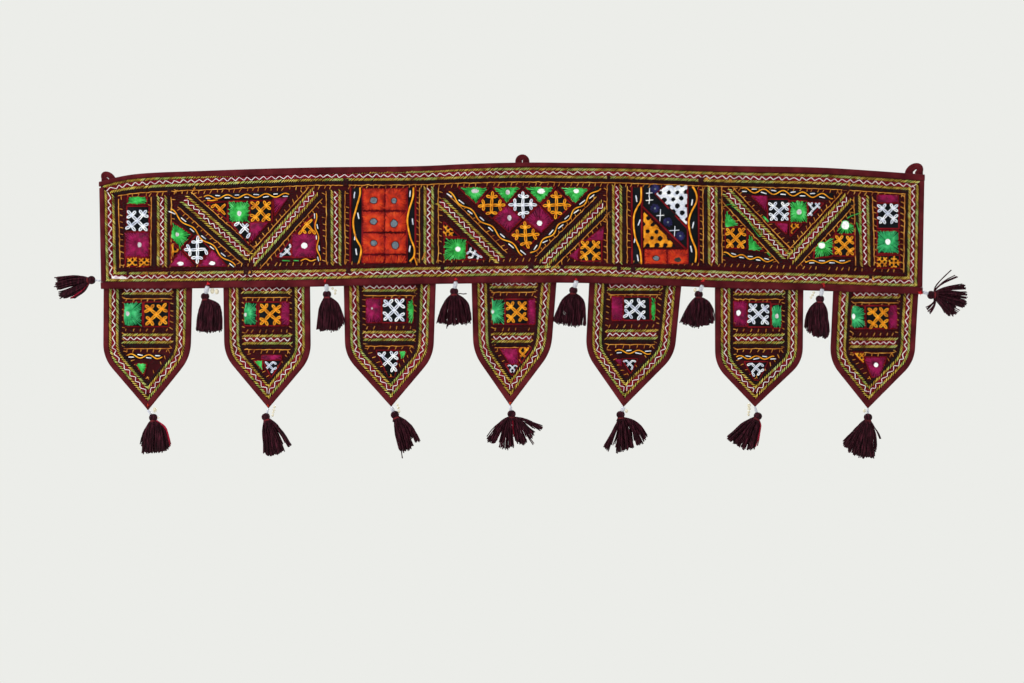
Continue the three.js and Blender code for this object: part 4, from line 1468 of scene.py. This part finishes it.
# Loose ends of thread, and bars of thread sewn over a gap: radius, height and route
Stray = namedtuple("Stray", "colour radius height route")
STRAYS = [
    Stray("green", 0.36, 2, [(252, -52.6), (260, -59), (269.6, -67.1), (274.4, -75.1), (281, -85),
                            (285.6, -89.5), (288, -83.2), (284.5, -80)]),
    Stray("green", 0.4, 1.6, [(244, -52), (252, -50.5), (259, -54)]),
    Stray("green", 1.3, 1.3, [(290, -65.6), (292.6, -68.2), (295.4, -71.4)]),
    Stray("green", 0.8, 1.6, [(294.5, -109), (297.5, -112.5)]),
    Stray("green", 0.6, 1.9, [(390, -67.8), (394.2, -65), (402.5, -62.3), (408.5, -59.2)]),
    Stray("green", 0.6, 1.9, [(401, -72.5), (403.2, -81.5), (405, -86)]),
    Stray("green", 0.6, 1.9, [(405.5, -76), (404.5, -84)]),
    Stray("green", 0.7, 1.5, [(-287, -118.4), (-278.7, -118.8)]),
    Stray("green", 0.7, 1.5, [(-273.4, -118.4), (-268, -118.6)]),
    Stray("orange", 0.7, 1.6, [(-265, -118.8), (-259, -116.4), (-253, -119), (-247, -117)]),
    Stray("pink_white", 0.8, 1.7, [(-491, -138), (-482, -138.4), (-474, -138.6)]),
    Stray("pink_white", 0.8, 1.7, [(-490, -139.4), (-482, -139.8), (-473, -140)]),
    Stray("orange", 1, 1.6, [(-129.8, -113.2), (-127.6, -118), (-126, -123.5)]),
    Stray("orange", 1, 1.6, [(-378, -45.4), (-373, -46.2), (-366, -45.2)]),
    Stray("rust", 0.8, 1.7, [(-115.5, -108), (-120, -117.5)]),
]
# Red stitches that fasten the tassels through the band's binding: place and reach
RED_STITCHES = [
    (-375.9, -146.2, 2.6), (-235.9, -142.6, 2.2), (-79.6, -141, 1.4), (64.4, -141.4, 1.5),
    (217.1, -141.6, 3), (360.7, -147.4, 3.2), (477.6, -157, 3.2),
]
TIP_STITCHES = [(0, 6), (1, 3.5), (3, 3.5)]  # flag and height above its point


def sew_strays():
    for stray in STRAYS:
        route = spline(stray.route, 4)
        thread(BAND_WORK["thread", stray.colour], BAND, route, stray.radius, height=stray.height)
    proud = BOUND_HALF - PANEL_HALF
    places = [(BAND_WORK["thread", "red"], BAND, x, z, reach) for x, z, reach in RED_STITCHES]
    for number, up in TIP_STITCHES:
        tip = FLAGS[number].tip_x, FLAGS[number].tip_z + up
        places.append((FLAG_WORK["thread", "orange_red"], FLAG_HOSTS[number], *tip, 1.5))
    for pile, host, x, z, reach in places:
        for _ in range(4):
            way = unit(rng.normal(0, 1, 2) * (0.8, 1.5)) * reach * rng.uniform(0.6, 1)
            middle = np.array([x, z]) + rng.normal(0, 0.4, 2)
            stitch(pile, host, middle, way, [proud + 0.1, proud + 0.5, proud + 0.1], 0.42)


# Tassels
# The yarn falls in locks. Each has its strands' ends from one side to the other, and the
# shoulders that its first and last strand hang over, all from the middle of the tassel's head.
YARN_RADIUS = 0.8
STRAND_STEPS = 8
STRAND_WAVE = 0.55
LOCK_DEPTH = 6.5  # how far its strands stand in front of and behind the head
ROOT_REACH = 3.6
FILL_STRANDS = 30  # shorter strands behind and between the locks
FILL_LENGTH = 0.86
Lock = namedtuple("Lock", "strands ends first last")
LOCKS = {
    "flag_1": [
        Lock(100, [(-12.8, -42), (-7, -41), (-0.5, -41.5), (7.7, -39.8), (15, -39)],
             (-9, -14), (13.5, -12)),
        Lock(5, [(-15.3, -29), (-13.5, -36)], (-10, -13), (-9, -14)),
        Lock(8, [(16.5, -37.5), (19, -33)], (14, -12), (15, -12)),
    ],
    "flag_2": [
        Lock(96, [(-1.5, -41.7), (0.7, -44.6), (5, -46), (12.4, -43.5), (17.4, -41.4),
                  (21.8, -39.5)], (-4, -13), (12, -12)),
        Lock(20, [(27, -35.4), (30, -32.7)], (12, -11), (15, -10.5)),
    ],
    "flag_3": [
        Lock(88, [(4.6, -41.1), (9.9, -43.3), (16.5, -41.6), (21.7, -36)], (-1, -15), (14, -13)),
        Lock(22, [(24.5, -31), (29.3, -30)], (15, -12.5), (20, -11)),
        Lock(2, [(8.6, -52.6), (9.3, -51.5)], (3, -14), (4, -14)),
    ],
    "flag_4": [
        Lock(28, [(-29, -26.6), (-28.3, -32.4), (-20, -35)], (-14, -8), (-8, -13)),
        Lock(34, [(-15.1, -39), (-6.9, -41.5), (3, -38.2)], (-8, -14), (0, -15)),
        Lock(24, [(6, -34), (14.5, -37.3), (19.4, -32.4)], (2, -13), (9, -12)),
        Lock(22, [(22, -30), (26.8, -25.8), (27.6, -19.3)], (9, -10), (12, -8)),
        Lock(18, [(34, -18), (37.2, -15.6)], (12.5, -6.5), (16, -4.5)),
        Lock(2, [(26, -37.3), (26.6, -36.8)], (9, -13), (10, -13)),
    ],
    "flag_5": [
        Lock(30, [(-19.7, -37.6), (-14.8, -42.5)], (-5.5, -13), (-3, -14)),
        Lock(60, [(-4.1, -45), (1.4, -42.8), (7.2, -40.4), (16.2, -38.4)], (-3, -14), (9, -13)),
        Lock(36, [(19, -37), (26, -33.5), (31.8, -24)], (11, -12), (21, -7)),
    ],
    "flag_6": [
        Lock(30, [(-36, -25.3), (-32.7, -31.1)], (-18, -8), (-13, -11)),
        Lock(46, [(-30, -30), (-23.7, -35.2), (-15.5, -39.3)], (-13, -11), (-6, -14)),
        Lock(40, [(-13, -39.5), (-8.9, -39.3), (-3.5, -36.8)], (-5, -14.5), (4, -12)),
    ],
    "flag_7": [
        Lock(34, [(-29, -32.9), (-25.3, -36.2), (-20.4, -42.8)], (-13, -12), (-8, -13.5)),
        Lock(3, [(-31.1, -28), (-30, -30)], (-14, -12), (-13.5, -12)),
        Lock(66, [(-18, -43.5), (-13, -45.6), (-7.2, -46.9), (-0.3, -47.7), (7.6, -46.6)],
             (-8, -13.5), (5, -14)),
        Lock(12, [(8.5, -40), (10.5, -33)], (6, -13), (8, -14)),
        Lock(2, [(15.5, -24.7), (15, -25.5)], (7, -11), (7.5, -11)),
    ],
    "gap_1": [
        Lock(118, [(-10.9, -39.3), (-5.9, -41), (4, -41.8), (12.2, -41.5), (17.9, -40.1),
                   (20, -36)], (-7, -13), (21, -9)),
    ],
    "gap_2": [
        Lock(112, [(-12.8, -41), (-5.4, -43.4), (-0.5, -41.8), (6.1, -42.6), (11.8, -41.8),
                   (17.6, -38.5)], (-9, -13), (15.5, -12)),
        Lock(5, [(18.5, -36), (20, -34.4)], (15, -12), (16, -12)),
    ],
    "gap_3": [
        Lock(32, [(-20.3, -37.2), (-13.5, -38), (-9.5, -39)], (-13.5, -13), (-8, -14.5)),
        Lock(3, [(-8.6, -43.8), (-8, -42.5)], (-6, -14), (-5, -14)),
        Lock(42, [(-8, -39.3), (-0.3, -39.6), (6.3, -38)], (-7, -14.5), (4, -15)),
        Lock(42, [(7.5, -38.2), (14.5, -38), (18.6, -36.4), (20.4, -33)], (5, -14.5), (18, -11)),
        Lock(1, [(16.1, -3.3), (16.3, -3)], (8, -2), (8, -2)),
    ],
    "gap_4": [
        Lock(120, [(-23.3, -36.5), (-16.7, -39), (-5.2, -41.5), (4.7, -41.5), (14.6, -40.6)],
             (-16, -12), (15, -11)),
    ],
    "gap_5": [
        Lock(118, [(-21.5, -32.7), (-17.1, -34.4), (-12.2, -36), (-3.9, -39), (4.3, -36.8),
                   (12.5, -35.2), (18, -32.7)], (-13, -13), (16.5, -10)),
    ],
    "gap_6": [
        Lock(24, [(-18.7, -32), (-13.8, -38.6), (-10, -41)], (-14.5, -11), (-9, -14)),
        Lock(92, [(-8.4, -43.6), (1.5, -45.2), (7.2, -46), (10.5, -40)], (-9, -14), (9, -12)),
    ],
    "left_end": [
        Lock(58, [(-42.5, 3.2), (-40.7, -1.7), (-42.5, -6.9), (-38.9, -11.4)],
             (-11, 6.5), (-12, -4)),
        Lock(46, [(-38, -15.7), (-37.6, -19.7), (-30, -20.3)], (-12, -5), (-8, -13)),
        Lock(6, [(-21.1, -22.2), (-23, -21)], (-7, -14), (-8, -12)),
    ],
    "right_end": [
        Lock(7, [(-6.4, -14.8), (-1.5, -23)], (4, -9), (7, -10)),
        Lock(34, [(20, -24.5), (27.3, -23), (33, -20.2)], (9, -10), (13, -7)),
        Lock(56, [(38, -15), (41.3, -9), (42.1, -2.5), (41.3, 4.9)], (13, -6), (14, 4)),
        Lock(22, [(40, 8), (38.5, 12)], (13, 5), (10, 9)),
        Lock(3, [(31.4, 22.5), (29, 24)], (6, 10), (5, 11)),
        Lock(2, [(23.2, 29.9), (22, 29)], (3, 10), (2, 10)),
    ],
}
BRIGHT_LOCKS = {
    "flag_1": [Lock(5, [(18.6, -35.5), (21, -29)], (15.4, -11.5), (17.5, -10.5))],
    "flag_4": [Lock(4, [(1.4, -24), (3, -25.5)], (0.6, -13), (2, -13))],
    "flag_6": [Lock(4, [(-3.4, -35), (-2.4, -36)], (4, -13), (4.6, -12.5))],
    "left_end": [Lock(2, [(-24, -20.6), (-25, -20)], (-10, -14), (-10, -13))],
}
BEAD_RADII = {
    "flag_1": 1.7, "flag_2": 1.5, "flag_3": 2.5, "flag_4": 2.1, "flag_5": 2.8, "flag_6": 1.6,
    "flag_7": 1.4, "gap_1": 2.85, "gap_2": 2.6, "gap_3": 2.7, "gap_4": 2.85, "gap_5": 2.5,
    "gap_6": 2.6, "left_end": 1.4, "right_end": 2.3,
}
BEAD_LAP = 3  # how far a bead lies over the edge between the flags
TIP_BEAD_LAP = 0.6
# A bead's outline: place along it, and share of its radius
BEAD_PROFILE = [
    (-0.5, 0.25), (-0.49, 0.6), (-0.44, 0.84), (-0.25, 0.97), (0, 1),
    (0.25, 0.97), (0.44, 0.84), (0.49, 0.6), (0.5, 0.25),
]
# Painted caustic: small cream beads beside a tassel's own, where its glass bead throws light and
# shadow on the wall. From the place where it is sewn: across, up, radius and half length
PAINTED_CAUSTICS = {
    "flag_1": [(8.6, 0.6, 2.3, 3.2), (12.8, -8.6, 1.2, 1.2)],
    "flag_2": [(7.5, 2, 1.6, 1.8), (7, -1.6, 1.7, 1.6), (6, -4.6, 1.5, 1.4), (5.4, -8, 1.5, 1.8)],
    "flag_3": [(7.3, 2.6, 1.5, 1.8), (8.6, -1, 1.7, 1.6), (9.4, -5.2, 1.6, 2)],
    "flag_5": [(3.6, -4.6, 1.9, 2.4)],
    "flag_6": [(-7.6, 2, 2.2, 2.4), (-7.4, -2, 2.2, 1.9), (-7.9, -5.8, 1.9, 1.7),
               (-8.2, -9.2, 1.6, 1.6)],
    "flag_7": [(-4.6, -2.4, 1.8, 2.4)],
    "gap_1": [(5.9, -2.6, 2.5, 3.6), (11.2, -3.4, 2.4, 3.4)],
    "gap_2": [(7, -1.6, 1.5, 1.6), (10.4, -4, 1.6, 1.6), (10, -7.4, 1.5, 1.7)],
    "gap_5": [(-7.4, -2.6, 1.8, 2.6)],
    "gap_6": [(-9, -1.2, 1.5, 1.6), (-10.6, -4.2, 1.6, 1.6), (-12.4, -7, 1.5, 1.6)],
}


def turned(points, tassel, depth):
    """Points of a tassel that hangs straight down, turned and put in its place."""
    angle = math.radians(tassel.lean)
    x, y, z = points[..., 0], points[..., 1], points[..., 2]
    along = x * math.cos(angle) - z * math.sin(angle)
    up = x * math.sin(angle) + z * math.cos(angle)
    return np.stack([tassel.head_x + along, depth + y, tassel.head_z + up], axis=-1)


def sewn_depth(tassel):
    for flag in FLAGS:
        if flag.name == tassel.name:
            return float(flag_depth(flag, flag.tip_x, flag.tip_z))
    return float(band_depth(tassel.sewn_x, tassel.sewn_z))


def hang_lock(pile, tassel, lock, depth):
    """One lock of yarn, which comes out of the neck, over its shoulders and down to its ends."""
    count = lock.strands
    ends = np.array(lock.ends, float)
    steps = np.abs(np.diff(ends, axis=0)) @ (1.0, 0.3)
    places = np.concatenate([[0], np.cumsum(steps)]) / steps.sum()
    share = (np.arange(count) + rng.uniform(0, 1, count)) / count
    middle = 2 * share - 1
    deep = rng.uniform(-1, 1, count) * np.sqrt(1 - 0.8 * middle**2) * min(1, count / 40) ** 0.5
    first, last = np.array(lock.first, float), np.array(lock.last, float)
    shoulder = first + (last - first) * share[:, None]
    angle = math.radians(tassel.lean)
    across = shoulder @ (math.cos(angle), math.sin(angle))
    out = np.clip(0.32 * across, -ROOT_REACH, ROOT_REACH)
    root = np.stack([out, 2.8 * deep, -2.4 - 0.3 * np.abs(out)], axis=-1)
    root = turned(root, tassel, depth)
    end = np.stack([np.interp(share, places, ends[:, k]) for k in (0, 1)], axis=-1)
    end = end + rng.normal(0, 1, (count, 2)) * (0.6, 0.9)

    def at(flat, spread):
        y = depth + LOCK_DEPTH * spread * deep
        return np.stack([tassel.head_x + flat[:, 0], y, tassel.head_z + flat[:, 1]], axis=-1)

    knee = at(shoulder * 1.1, 0.85)
    elbow = root + (knee - root) * (0.62, 0.6, 0.5)
    t = np.linspace(0, 1, STRAND_STEPS)[None, :, None]
    strands = (
        (1 - t) ** 3 * root[:, None]
        + 3 * t * (1 - t) ** 2 * elbow[:, None]
        + 3 * t**2 * (1 - t) * knee[:, None]
        + t**3 * at(end, 1)[:, None]
    )
    phase = rng.uniform(0, 1, (count, 1, 3))
    strands = strands + STRAND_WAVE * t * np.sin(2 * np.pi * (1.5 * t + phase))
    radii = YARN_RADIUS * rng.uniform(0.85, 1.1, (count, 1))
    radii = radii * np.linspace(0.9, 1.05, STRAND_STEPS)
    add_tubes(pile, strands, radii, sides=4, tip=0.2)


def yarn_tassel(tassel):
    pile = Pile()
    depth = sewn_depth(tassel)
    locks = LOCKS[tassel.name]
    for lock in locks:
        hang_lock(pile, tassel, lock, depth)
    full = [lock for lock in locks if lock.strands > 15]
    ends = np.concatenate([lock.ends for lock in full]) * FILL_LENGTH
    hang_lock(pile, tassel, Lock(FILL_STRANDS, ends, full[0].first, full[-1].last), depth)
    for lock in BRIGHT_LOCKS.get(tassel.name, []):
        hang_lock(BRIGHT_YARN, tassel, lock, depth - 1.5)

    angles = 2 * np.pi * np.arange(HEAD_FOLDS) / HEAD_FOLDS
    heights, radii_at = np.transpose(HEAD_PROFILE)
    x = radii_at[None, :] * np.cos(angles)[:, None]
    y = radii_at[None, :] * np.sin(angles)[:, None] * 0.9
    z = np.broadcast_to(heights, x.shape)
    folds = turned(np.stack([x, y, z], axis=-1), tassel, depth)
    add_tubes(pile, folds, 1.0, sides=5, tip=0.2)

    turns = np.linspace(0, 2 * np.pi, 15)
    rings = []
    for level in NECK_WRAP_HEIGHTS:
        radius = NECK_RADIUS - 0.6 * level - 1.4
        x, y = oval(radius, radius * 0.95, turns).T
        rings.append(np.stack([x, y, turns * 0 + level], axis=-1))
    add_tubes(NECK_WRAPS, turned(np.stack(rings), tassel, depth), 0.6, sides=5, tip=0.2)
    return make_piece(f"yarn_{tassel.name}", pile, YARN, "yarn", [f"tassel_{tassel.name}"])


def bead(tassel):
    """A bead of cloudy glass on the tassel's thread, lying over the edge it hangs from."""
    sewn = np.array([tassel.sewn_x, tassel.sewn_z])
    head = np.array([tassel.head_x, tassel.head_z])
    along = unit(head - sewn)
    depth = sewn_depth(tassel)
    radius = BEAD_RADII[tassel.name]
    at_gap = tassel.name.startswith("gap")
    lap = BEAD_LAP if at_gap else TIP_BEAD_LAP
    proud = BOUND_HALF + radius + 0.2 if at_gap else 0

    def place(flat, offset):
        return np.array([flat[0], depth - offset, flat[1]])

    top = place(sewn - along * lap, proud)
    foot = place(head - along * (HEAD_RADIUS - 0.5), proud * 0.3)
    level, shape = np.transpose(BEAD_PROFILE)
    line = (top + foot) / 2 + (foot - top) * level[:, None]
    pile = Pile()
    add_tubes(pile, line[None], (radius * shape)[None], sides=16, tip=0.02)
    piece = make_piece(f"glass_{tassel.name}", pile, BEAD, "bead", [f"bead_{tassel.name}"])
    string = Pile()
    start = place(sewn - along * (lap + 1.5), BOUND_HALF * at_gap)
    line = np.stack([start, top, foot, place(head - along * 2, 0)])
    add_tubes(string, line[None], 0.3, sides=6)
    make_piece(f"string_{tassel.name}", string, THREADS["maroon"], "yarn")
    return piece


def painted_caustic_string(tassel):
    """Painted caustic: a second thread with small cream beads, from the sewn place down to the
    neck, where the glass bead throws light and shadow on the wall.
    """
    depth = sewn_depth(tassel) - 1.5
    sewn = np.array([tassel.sewn_x, tassel.sewn_z])
    places = [sewn + (across, up) for across, up, _, _ in PAINTED_CAUSTICS[tassel.name]]
    neck = turned(np.array([0.0, 0.0, -SKIRT_START]), tassel, depth)[[0, 2]]
    route = spline([sewn, *places, neck], 5)
    line = np.stack([route[:, 0], np.full(len(route), depth), route[:, 1]], axis=-1)
    add_tubes(CAUSTIC_THREADS, line[None], 0.25, sides=4)
    level = np.array([-0.92, -0.7, -0.35, 0, 0.35, 0.7, 0.92])
    for (x, z), (_, _, radius, half) in zip(places, PAINTED_CAUSTICS[tassel.name]):
        line = np.stack([0 * level + x, 0 * level + depth, z + half * level], axis=-1)
        add_tubes(CAUSTIC_BEADS, line[None], radius * np.sqrt(1 - level**2)[None], sides=12, tip=0.1)


def loop_strap(loop):
    """An arch of folded strip behind the band's top edge."""
    rows = 60
    t = np.linspace(0, 1, rows)
    turn = math.pi * np.clip((t - LOOP_LEG_SHARE) / (1 - 2 * LOOP_LEG_SHARE), 0, 1)
    rise = loop.height - loop.half_width
    below = np.maximum.reduce([np.zeros(rows), LOOP_LEG_SHARE - t, t - 1 + LOOP_LEG_SHARE])
    down = below / LOOP_LEG_SHARE * (LOOP_LEGS + rise)
    half = LOOP_THICKNESS / 2
    depth = float(band_depth(loop.x, loop.z)) + BOUND_HALF + 2 * GAP + half
    w = loop.width
    section = [
        (0, 0.2), (0.1, -0.6), (0.7, -1), (w * 0.47, -0.92), (w * 0.5, -0.7), (w * 0.53, -0.92),
        (w - 0.7, -1), (w - 0.1, -0.6), (w, 0), (w - 0.1, 0.6), (w - 0.7, 1), (w * 0.5, 0.9),
        (0.7, 1), (0.1, 0.7),
    ]
    lines = []
    for s, d in section:
        arch = (loop.half_width - s * LOOP_CROWN) * np.sin(turn)
        x = loop.x - (loop.half_width - s) * np.cos(turn) + loop.lean * np.sin(turn)
        z = loop.z + rise + arch - down
        lines.append(np.stack([x, np.full(rows, depth + d * half), z], axis=-1))
    pile = Pile()
    add_strip(pile, lines)
    return make_piece(
        f"strap_{loop.name}", pile, CLOTHS["binding"], "binding", [f"loop_{loop.name}"]
    )


# The last two piles hold a painted caustic: cream beads and their thread where the glass beads
# throw light and shadow on the wall.
BRIGHT_YARN, NECK_WRAPS, CAUSTIC_THREADS, CAUSTIC_BEADS = Pile(), Pile(), Pile(), Pile()

seed_band()
sew_frame()
for strip in DIVIDERS + SLANTS:
    sew_strip(strip)
sew_joints()
for row in WAVES:
    sew_wave(BAND_WORK, BAND, row)
for sun in SUNS:
    sew_sun(BAND_WORK, BAND, sun)
for cross in CROSSES:
    sew_cross(BAND_WORK, BAND, cross)
slanted_panel()
for strip in UPRIGHTS:
    sew_upright(strip)
for flag, host, row in zip(FLAGS, FLAG_HOSTS, FLAG_ROWS):
    sew_flag(flag, host, row)
for number, row in FLAG_WAVES:
    sew_wave(FLAG_WORK, FLAG_HOSTS[number], row)
for number, sun in FLAG_SUNS:
    sew_sun(FLAG_WORK, FLAG_HOSTS[number], sun)
for number, cross in FLAG_CROSSES:
    sew_cross(FLAG_WORK, FLAG_HOSTS[number], cross)
sew_strays()

straps = [loop_strap(loop) for loop in LOOPS]
edgings = band_edgings()
band, band_size, band_area = band_cloth()
band_sewing = BAND_WORK.finish()
FLAG_WORK.finish()
tuple(band_size * MM)
band_area * MM**2
for flag, host in zip(FLAGS, FLAG_HOSTS):
    cloth, size, area = flag_cloth(flag, host)
    edging = flag_edging(flag, host)
    tuple(size * MM)
    area * MM**2
for tassel in TASSELS:
    yarn_tassel(tassel)
    bead(tassel)
    if tassel.name in PAINTED_CAUSTICS:
        painted_caustic_string(tassel)
make_piece("yarn_bright", BRIGHT_YARN, CRIMSON_YARN, "yarn")
make_piece("neck_wraps", NECK_WRAPS, THREADS["wine"], "yarn")
# Painted caustic: cream beads and their thread, where the glass beads throw light and shadow on the
# wall.
make_piece("pearl_threads", CAUSTIC_THREADS, THREADS["white"], "yarn")
make_piece("pearls", CAUSTIC_BEADS, CAUSTIC_CREAM, "bead")

# Floor, light and background
FLOOR_HALF = 1500
FLOOR_DROP = 1250
floor_corners = box(-FLOOR_HALF, -FLOOR_HALF, FLOOR_HALF, FLOOR_HALF)
floor_points = [(x, y, -FLOOR_DROP) for x, y in floor_corners]
floor_mesh = bpy.data.meshes.new("floor")
floor_mesh.from_pydata((np.array(floor_points) * MM).tolist(), [], [(0, 1, 2, 3)])
floor_mesh.materials.append(
    tinted("floor_plain", (6, 2), (0.3, 0.7), "dcdcd8 e6e6e2", {"Roughness": 0.9})
)
floor = bpy.data.objects.new("floor", floor_mesh)
bpy.context.scene.collection.objects.link(floor)

world = bpy.data.worlds.new("studio")
world.use_nodes = True
background = world.node_tree.nodes["Background"]
background.inputs["Color"].default_value = srgb("ecede9")
background.inputs["Strength"].default_value = 1.0
bpy.context.scene.world = world
bpy.context.scene.view_settings.view_transform = "Standard"

Light = namedtuple("Light", "name place aim size power")
LIGHTS = [
    Light("window", (-1800, -1200, 800), (0, 0, -150), 1300, 33),
    Light("fill", (1500, -1900, 300), (0, 0, -150), 1600, 5),
    Light("back", (300, 1800, 700), (0, 0, -150), 1500, 14),
]
for light in LIGHTS:
    data = bpy.data.lights.new(light.name, "AREA")
    data.size = light.size * MM
    data.energy = light.power
    lamp = bpy.data.objects.new(light.name, data)
    lamp.location = np.array(light.place) * MM
    way = (np.array(light.aim) - np.array(light.place)) * MM
    lamp.rotation_euler = Vector(way).to_track_quat("-Z", "Y").to_euler()
    bpy.context.scene.collection.objects.link(lamp)
